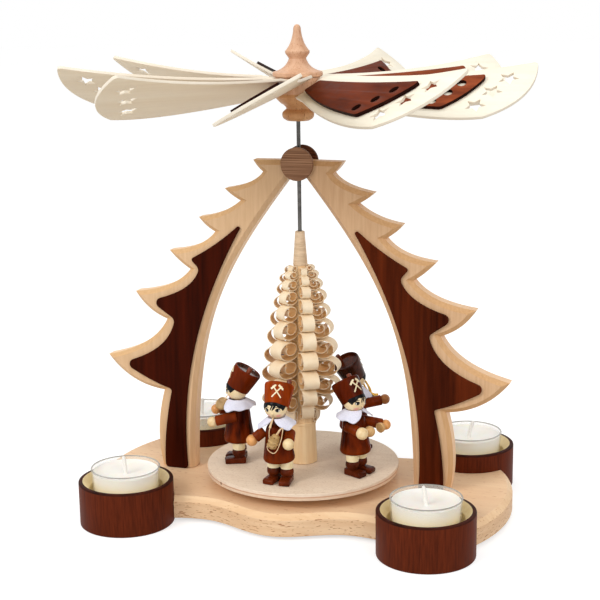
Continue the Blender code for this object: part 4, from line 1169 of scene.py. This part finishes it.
def emblem_mesh():
    """Crossed hammers, wrapped round the front of the hat; the second one lies a little higher."""
    handle = [(-0.36, -4.0), (0.36, -4.0), (0.32, 4.0), (-0.32, 4.0)]
    head = [(-1.8, 2.7), (1.4, 2.7), (1.9, 3.1), (1.4, 3.8), (-1.8, 3.8)]
    pieces = []
    for side, outline, lift in ((-1, handle, 0.05), (-1, head, 0.05), (1, handle, 0.12), (1, head, 0.12)):
        cosine, sine = math.cos(math.radians(40)), side * math.sin(math.radians(40))
        flat = bmesh.new()
        corners = [(x * cosine + y * sine, y * cosine - x * sine, 0) for x, y in outline]
        flat.faces.new([flat.verts.new(corner) for corner in corners])
        bmesh.ops.triangulate(flat, faces=flat.faces[:])
        bmesh.ops.subdivide_edges(flat, edges=flat.edges[:], cuts=4, use_grid_fill=True)
        raised = bmesh.ops.extrude_face_region(flat, geom=flat.faces[:])
        for item in raised["geom"]:
            if isinstance(item, bmesh.types.BMVert):
                item.co.z = EMBLEM_THICKNESS
        for vertex in flat.verts:
            level = EMBLEM_LEVEL + vertex.co.y
            radius = HAT_LOW_RADIUS + HAT_FLARE * (level - 1.0) + lift + vertex.co.z
            turn = vertex.co.x / radius
            vertex.co = mm(radius * math.cos(turn), radius * math.sin(turn), level)
        mesh = bpy.data.meshes.new("emblem_piece")
        flat.to_mesh(mesh)
        flat.free()
        pieces.append(mesh)
    return moved(joined("emblem", pieces, 40.0), HAT_PLACE)


def turned_between(name, start, end, profile, steps=32, sharp=40.0):
    """Turned piece along a line; the profile is (radius, place along the line), in millimetres."""
    return moved(turned_mm(name, profile, steps, sharp), aimed(mm(*start), mm(*end), "Z"))


def arm_meshes(hands):
    """Sleeves in one mesh, and a ball for each hand; hands are (side, F, L, Z, radius, finish)."""
    sleeves = []
    balls = []
    for side, forward, left, height, radius, finish in hands:
        shoulder = Vector((0.5, side * 7.6, 28.8))
        hand = Vector((forward, left, height))
        cuff = hand - (hand - shoulder).normalized() * (radius - 0.9)
        length = (cuff - shoulder).length
        profile = rounded([(0, 0), (2.9, 0), (3.0, length), (2.2, length), (0, length)], 0.3)
        sleeves.append(turned_between("sleeve", shoulder, cuff, profile, 28, 35.0))
        name = "left_hand" if side > 0 else "right_hand"
        balls.append((name, ball(mm(*hand), 0.001 * radius, 28), finish))
    return joined("sleeves", sleeves), balls


def wire(points, radius, end_radius=None):
    """Round wire through the points, in millimetres; it may taper."""
    path = through([mm(*point) for point in points], 8)
    last = radius if end_radius is None else end_radius
    radii = [0.001 * (radius + (last - radius) * step / (len(path) - 1)) for step in range(len(path))]
    return tube("wire", path, radii)


CONE = [(0, 0), (0.6, 0), (0.8, 1.5), (1.5, 3.2), (2.4, 4.2), (2.4, 4.5), (2.0, 4.5), (0, 3.6)]
RINGED = [(0, 0), (1.9, 0.1), (2.7, 0.8), (2.9, 1.5), (2.5, 2.3), (3.0, 3.0), (3.2, 3.7), (2.7, 4.5),
          (2.9, 5.0), (2.9, 5.7), (2.3, 6.3), (2.4, 6.9), (2.0, 7.7), (1.1, 8.2), (0, 8.4)]
BARREL = [(0, 0), (2.6, 0), (3.2, 0.8), (3.5, 2.4), (3.6, 4.6), (3.6, 5.9), (3.2, 6.0), (3.1, 5.6), (0, 5.6)]
CUPPED = [(0, 1.6), (1.6, 1.6), (2.4, 2.4), (2.8, 3.4), (2.9, 4.5), (2.75, 4.7), (2.4, 4.3), (0, 4.2)]
COIL = [(6.2, 0.4, 39.0), (7.6, 0.4, 39.9), (8.8, 1.6, 37.6), (9.8, 2.6, 35.0), (10.0, 3.0, 33.2),
        (9.0, 3.0, 32.6), (8.4, 1.0, 34.6), (7.7, -0.4, 37.0), (7.2, -0.6, 39.0), (8.0, 0.6, 39.2),
        (9.0, 2.0, 36.5), (9.4, 3.0, 33.2)]
LOOP = [(10.6, 6.2, 33.9), (10.8, 7.4, 34.0), (11.0, 7.0, 31.2), (11.0, 6.2, 28.1), (11.0, 4.5, 23.7),
        (11.0, 2.9, 20.9), (11.0, 0.9, 19.8), (10.8, -1.6, 21.2), (10.7, -2.4, 23.2), (10.6, -1.8, 25.0)]


def horn_of(number):
    """Parts of each miner's instrument, as (name, mesh, finish, slot)."""
    if number == 1:
        horn = turned_between("bell", (10.9, -0.3, 22.8), (9.8, 3.5, 30.2), RINGED)
        cord = joined("cord", [wire([(5.8, 0.2, 38.2), (7.6, -0.2, 36.2), (9.2, -0.8, 33.4)], 0.35, 0.70),
                               wire([(9.2, -0.8, 33.4), (9.8, -1.1, 31.0), (10.5, -0.9, 27.4)], 0.25),
                               wire([(10.0, 3.4, 30.2), (10.4, 5.0, 32.4), (10.6, 6.2, 33.9)], 0.60, 0.45),
                               wire(LOOP, 0.25)])
    elif number == 2:
        pair = [ball(mm(9.6, 0.9, 25.2), 0.0031),
                turned_between("bell", (11.3, 13.4, 25.7), (10.7, 8.6, 25.3), CUPPED)]
        return [("cymbals", joined("cymbals", pair), CYMBAL, "figure_skin")]
    elif number == 5:
        horn = turned_between("bell", (10.4, -2.2, 32.7), (8.4, 3.4, 35.4), BARREL)
        cord = wire([(6.2, 0.2, 39.0), (6.9, 1.0, 37.9), (7.6, 1.4, 36.8)], 0.30)
    else:
        side = -1 if number == 3 else 1
        horn = turned_between("bell", (9.4, side * 3.0, 33.2), (12.6, side * 4.4, 30.0), CONE)
        coil = wire([(forward, side * left, height) for forward, left, height in COIL], 0.55)
        return [("horn", horn, BRASS, "brass"), ("horn_wire", coil, BRASS, "brass")]
    return [("horn", horn, HORN, "figure_skin"), ("horn_cord", cord, CORD, "figure_skin")]


# Each hand: (side, F, L, Z, radius, finish)
MINER_HANDS = {
    1: [(-1, 4.0, -13.9, 24.1, 3.2, HAND_TAN), (1, 9.0, 9.4, 24.8, 3.2, HAND_PALE)],
    2: [(-1, 11.0, -8.1, 26.6, 3.4, HAND_PALE), (1, 11.0, 14.5, 25.8, 2.9, HAND_TAN)],
    3: [(-1, 12.0, -13.8, 31.1, 3.0, HAND_BROWN), (1, 12.0, 8.0, 24.5, 3.0, HAND_PALE)],
    4: [(-1, 11.0, -8.5, 24.5, 3.0, HAND_PALE), (1, 11.0, 8.5, 24.5, 3.0, HAND_PALE)],
    5: [(-1, 13.2, -4.0, 29.6, 2.9, HAND_TAN), (1, 14.4, 8.0, 25.8, 3.0, HAND_PALE)],
}
EMBLEM_TURNS = {1: 14, 2: -5}
# Heads that are turned, in degrees, and moved up, in millimetres
HEAD_FITS = {2: (-7, -0.7)}
HAT_SHIFTS = {1: (0.0, 0.3, -0.6), 2: (0.0, 0.0, -1.1)}
# Miner 3's hat top takes the dark lacquer in place of the grey top: painted shade.
HAT_FINISHES = {1: [LACQUER_BRIGHT, HAT_TOP], 2: [LACQUER, HAT_TOP], 3: [LACQUER_DARK, LACQUER_DARK]}
MINER_SHIFTS = {2: (0.0010, 0.0003)}
MINER_LEANS = {1: ("X", 2.4), 2: ("Y", -2.6)}


def make_miners():
    face = face_look()
    shared = [("boots", boots_mesh(), [LACQUER_BOOT], "figure_lacquer"),
              ("trousers", trousers_mesh(), [TROUSERS], "figure_skin"),
              ("coat", coat_mesh(), [COAT], "figure_lacquer"),
              ("collar", collar_mesh(), [FELT], "wick_cotton"),
              ("head", head_mesh(), [face], "figure_skin"),
              ("hair", band_mesh(), [BLACK], "figure_skin"),
              ("hat_peg", peg_mesh(), [PEG], "figure_lacquer"),
              ("emblem", emblem_mesh(), [EMBLEM], "figure_skin")]
    for number in range(1, MINER_COUNT + 1):
        angle = MINER_START + (number - 1) * 2 * math.pi / MINER_COUNT
        shift_x, shift_y = MINER_SHIFTS.get(number, (0.0, 0.0))
        place_x, place_y = MINER_RING * math.cos(angle) + shift_x, MINER_RING * math.sin(angle) + shift_y
        matrix = Matrix.Translation((place_x, place_y, TURNTABLE_TOP)) @ Matrix.Rotation(angle, 4, "Z")
        axis, degrees = MINER_LEANS.get(number, ("X", 0))
        lean = Matrix.Rotation(math.radians(degrees), 4, axis)
        emblem_turn = Matrix.Rotation(math.radians(EMBLEM_TURNS.get(number, 0)), 4, "Z")
        stands_for = {"coat": ["miner_body_%d" % number], "head": ["miner_head_%d" % number]}
        sleeves, hands = arm_meshes(MINER_HANDS[number])
        own = shared + [("sleeves", sleeves, [SLEEVE], "figure_lacquer")]
        own.append(("hat", hat_mesh(), HAT_FINISHES.get(number, [LACQUER_HAT, HAT_TOP]), "figure_lacquer"))
        own += [(name, mesh, [finish], "figure_skin") for name, mesh, finish in hands]
        own += [(name, mesh, [finish], slot) for name, mesh, finish, slot in horn_of(number)]
        for name, mesh, finishes, slot in own:
            here = matrix if name in ("boots", "trousers") else matrix @ lean
            if name in ("head", "hair", "hat", "hat_peg", "emblem"):
                turn, rise = HEAD_FITS.get(number, (0, 0))
                here = here @ Matrix.Translation(mm(0, 0, rise)) @ Matrix.Rotation(math.radians(turn), 4, "Z")
            if name in ("hat", "hat_peg", "emblem"):
                here = here @ Matrix.Translation(mm(*HAT_SHIFTS.get(number, (0, 0, 0))))
            if name == "emblem":
                here = here @ HAT_PLACE @ emblem_turn @ HAT_PLACE.inverted()
            piece = add("miner_%d_%s" % (number, name), mesh, finishes, "carousel", slot,
                        stands_for.get(name, ()), here)


# Camera, floor and light

CAMERA_PLACE = (0.23515, -0.71834, 0.29225)
CAMERA_AIM = (0.0, 0.0, 0.114698)
CAMERA_ROLL = -0.0141837
CAMERA_LENS = 83.102
CAMERA_SHIFT = (-0.00159, 0.01215)
LIGHT_AIM = (0, 0, 0.10)
WORLD_LIGHT, FLOOR_GLOW = 0.66, 0.60


def make_camera():
    lens = bpy.data.cameras.new("camera")
    lens.sensor_width = 36.0
    lens.lens = CAMERA_LENS
    lens.shift_x, lens.shift_y = CAMERA_SHIFT
    lens.clip_start, lens.clip_end = 0.01, 50.0
    camera = linked("camera", lens)
    camera.matrix_world = aimed(CAMERA_PLACE, CAMERA_AIM) @ Matrix.Rotation(CAMERA_ROLL, 4, "Z")
    bpy.context.scene.camera = camera


def seen_directly(nodes, links):
    """1 for rays from the camera and for reflections and views through glass, else 0."""
    path = nodes.new("ShaderNodeLightPath")
    seen = path.outputs["Is Camera Ray"]
    for name in ("Is Glossy Ray", "Is Transmission Ray"):
        either = nodes.new("ShaderNodeMath")
        either.operation = "MAXIMUM"
        links.new(seen, either.inputs[0])
        links.new(path.outputs[name], either.inputs[1])
        seen = either.outputs["Value"]
    return seen


def make_floor():
    bm = bmesh.new()
    bmesh.ops.create_circle(bm, cap_ends=True, segments=64, radius=6.0)
    mesh = finish_mesh("floor", bm)
    look = Look("floor", 0.9, 0.0, Emission_Color=(1, 1, 1, 1))
    greys = [(0.3, (0.60, 0.60, 0.60, 1)), (0.7, (0.62, 0.62, 0.62, 1))]
    look.feed(look.shader["Base Color"], look.ramp(look.noise((3, 3, 3), 2.0), greys))
    seen = seen_directly(look.nodes, look.links)
    look.feed(look.shader["Emission Strength"], look.scalar("MULTIPLY", seen, FLOOR_GLOW))
    mesh.materials.append(look.material)
    linked("floor", mesh)


def make_world():
    world = bpy.data.worlds.new("studio")
    bpy.context.scene.world = world
    world.use_nodes = True
    nodes = world.node_tree.nodes
    links = world.node_tree.links
    background = nodes["Background"].inputs
    background["Color"].default_value = (1, 1, 1, 1)
    strength = nodes.new("ShaderNodeMapRange")
    links.new(seen_directly(nodes, links), strength.inputs["Value"])
    strength.inputs["To Min"].default_value = WORLD_LIGHT
    strength.inputs["To Max"].default_value = 1.0
    links.new(strength.outputs["Result"], background["Strength"])


def add_light(name, place, size, power):
    lamp = bpy.data.lights.new(name, "AREA")
    lamp.size = size
    lamp.energy = power
    linked(name, lamp).matrix_world = aimed(place, LIGHT_AIM)


def make_light():
    add_light("key", (-0.70, -1.10, 0.95), 0.6, 9.0)
    add_light("fill", (0.95, -0.90, 0.80), 0.8, 4.5)
    add_light("top", (0.0, 0.10, 1.6), 0.8, 4.0)


make_base()
make_holders()
make_tealights()
make_arches()
make_arch_inlays()
make_guide()
make_shaft_and_hub()
make_rotor()
make_turntable()
make_ring_tree()
make_miners()
make_camera()
make_floor()
make_world()
make_light()
bpy.context.scene.view_settings.view_transform = "Standard"

bpy.context.view_layer.update()
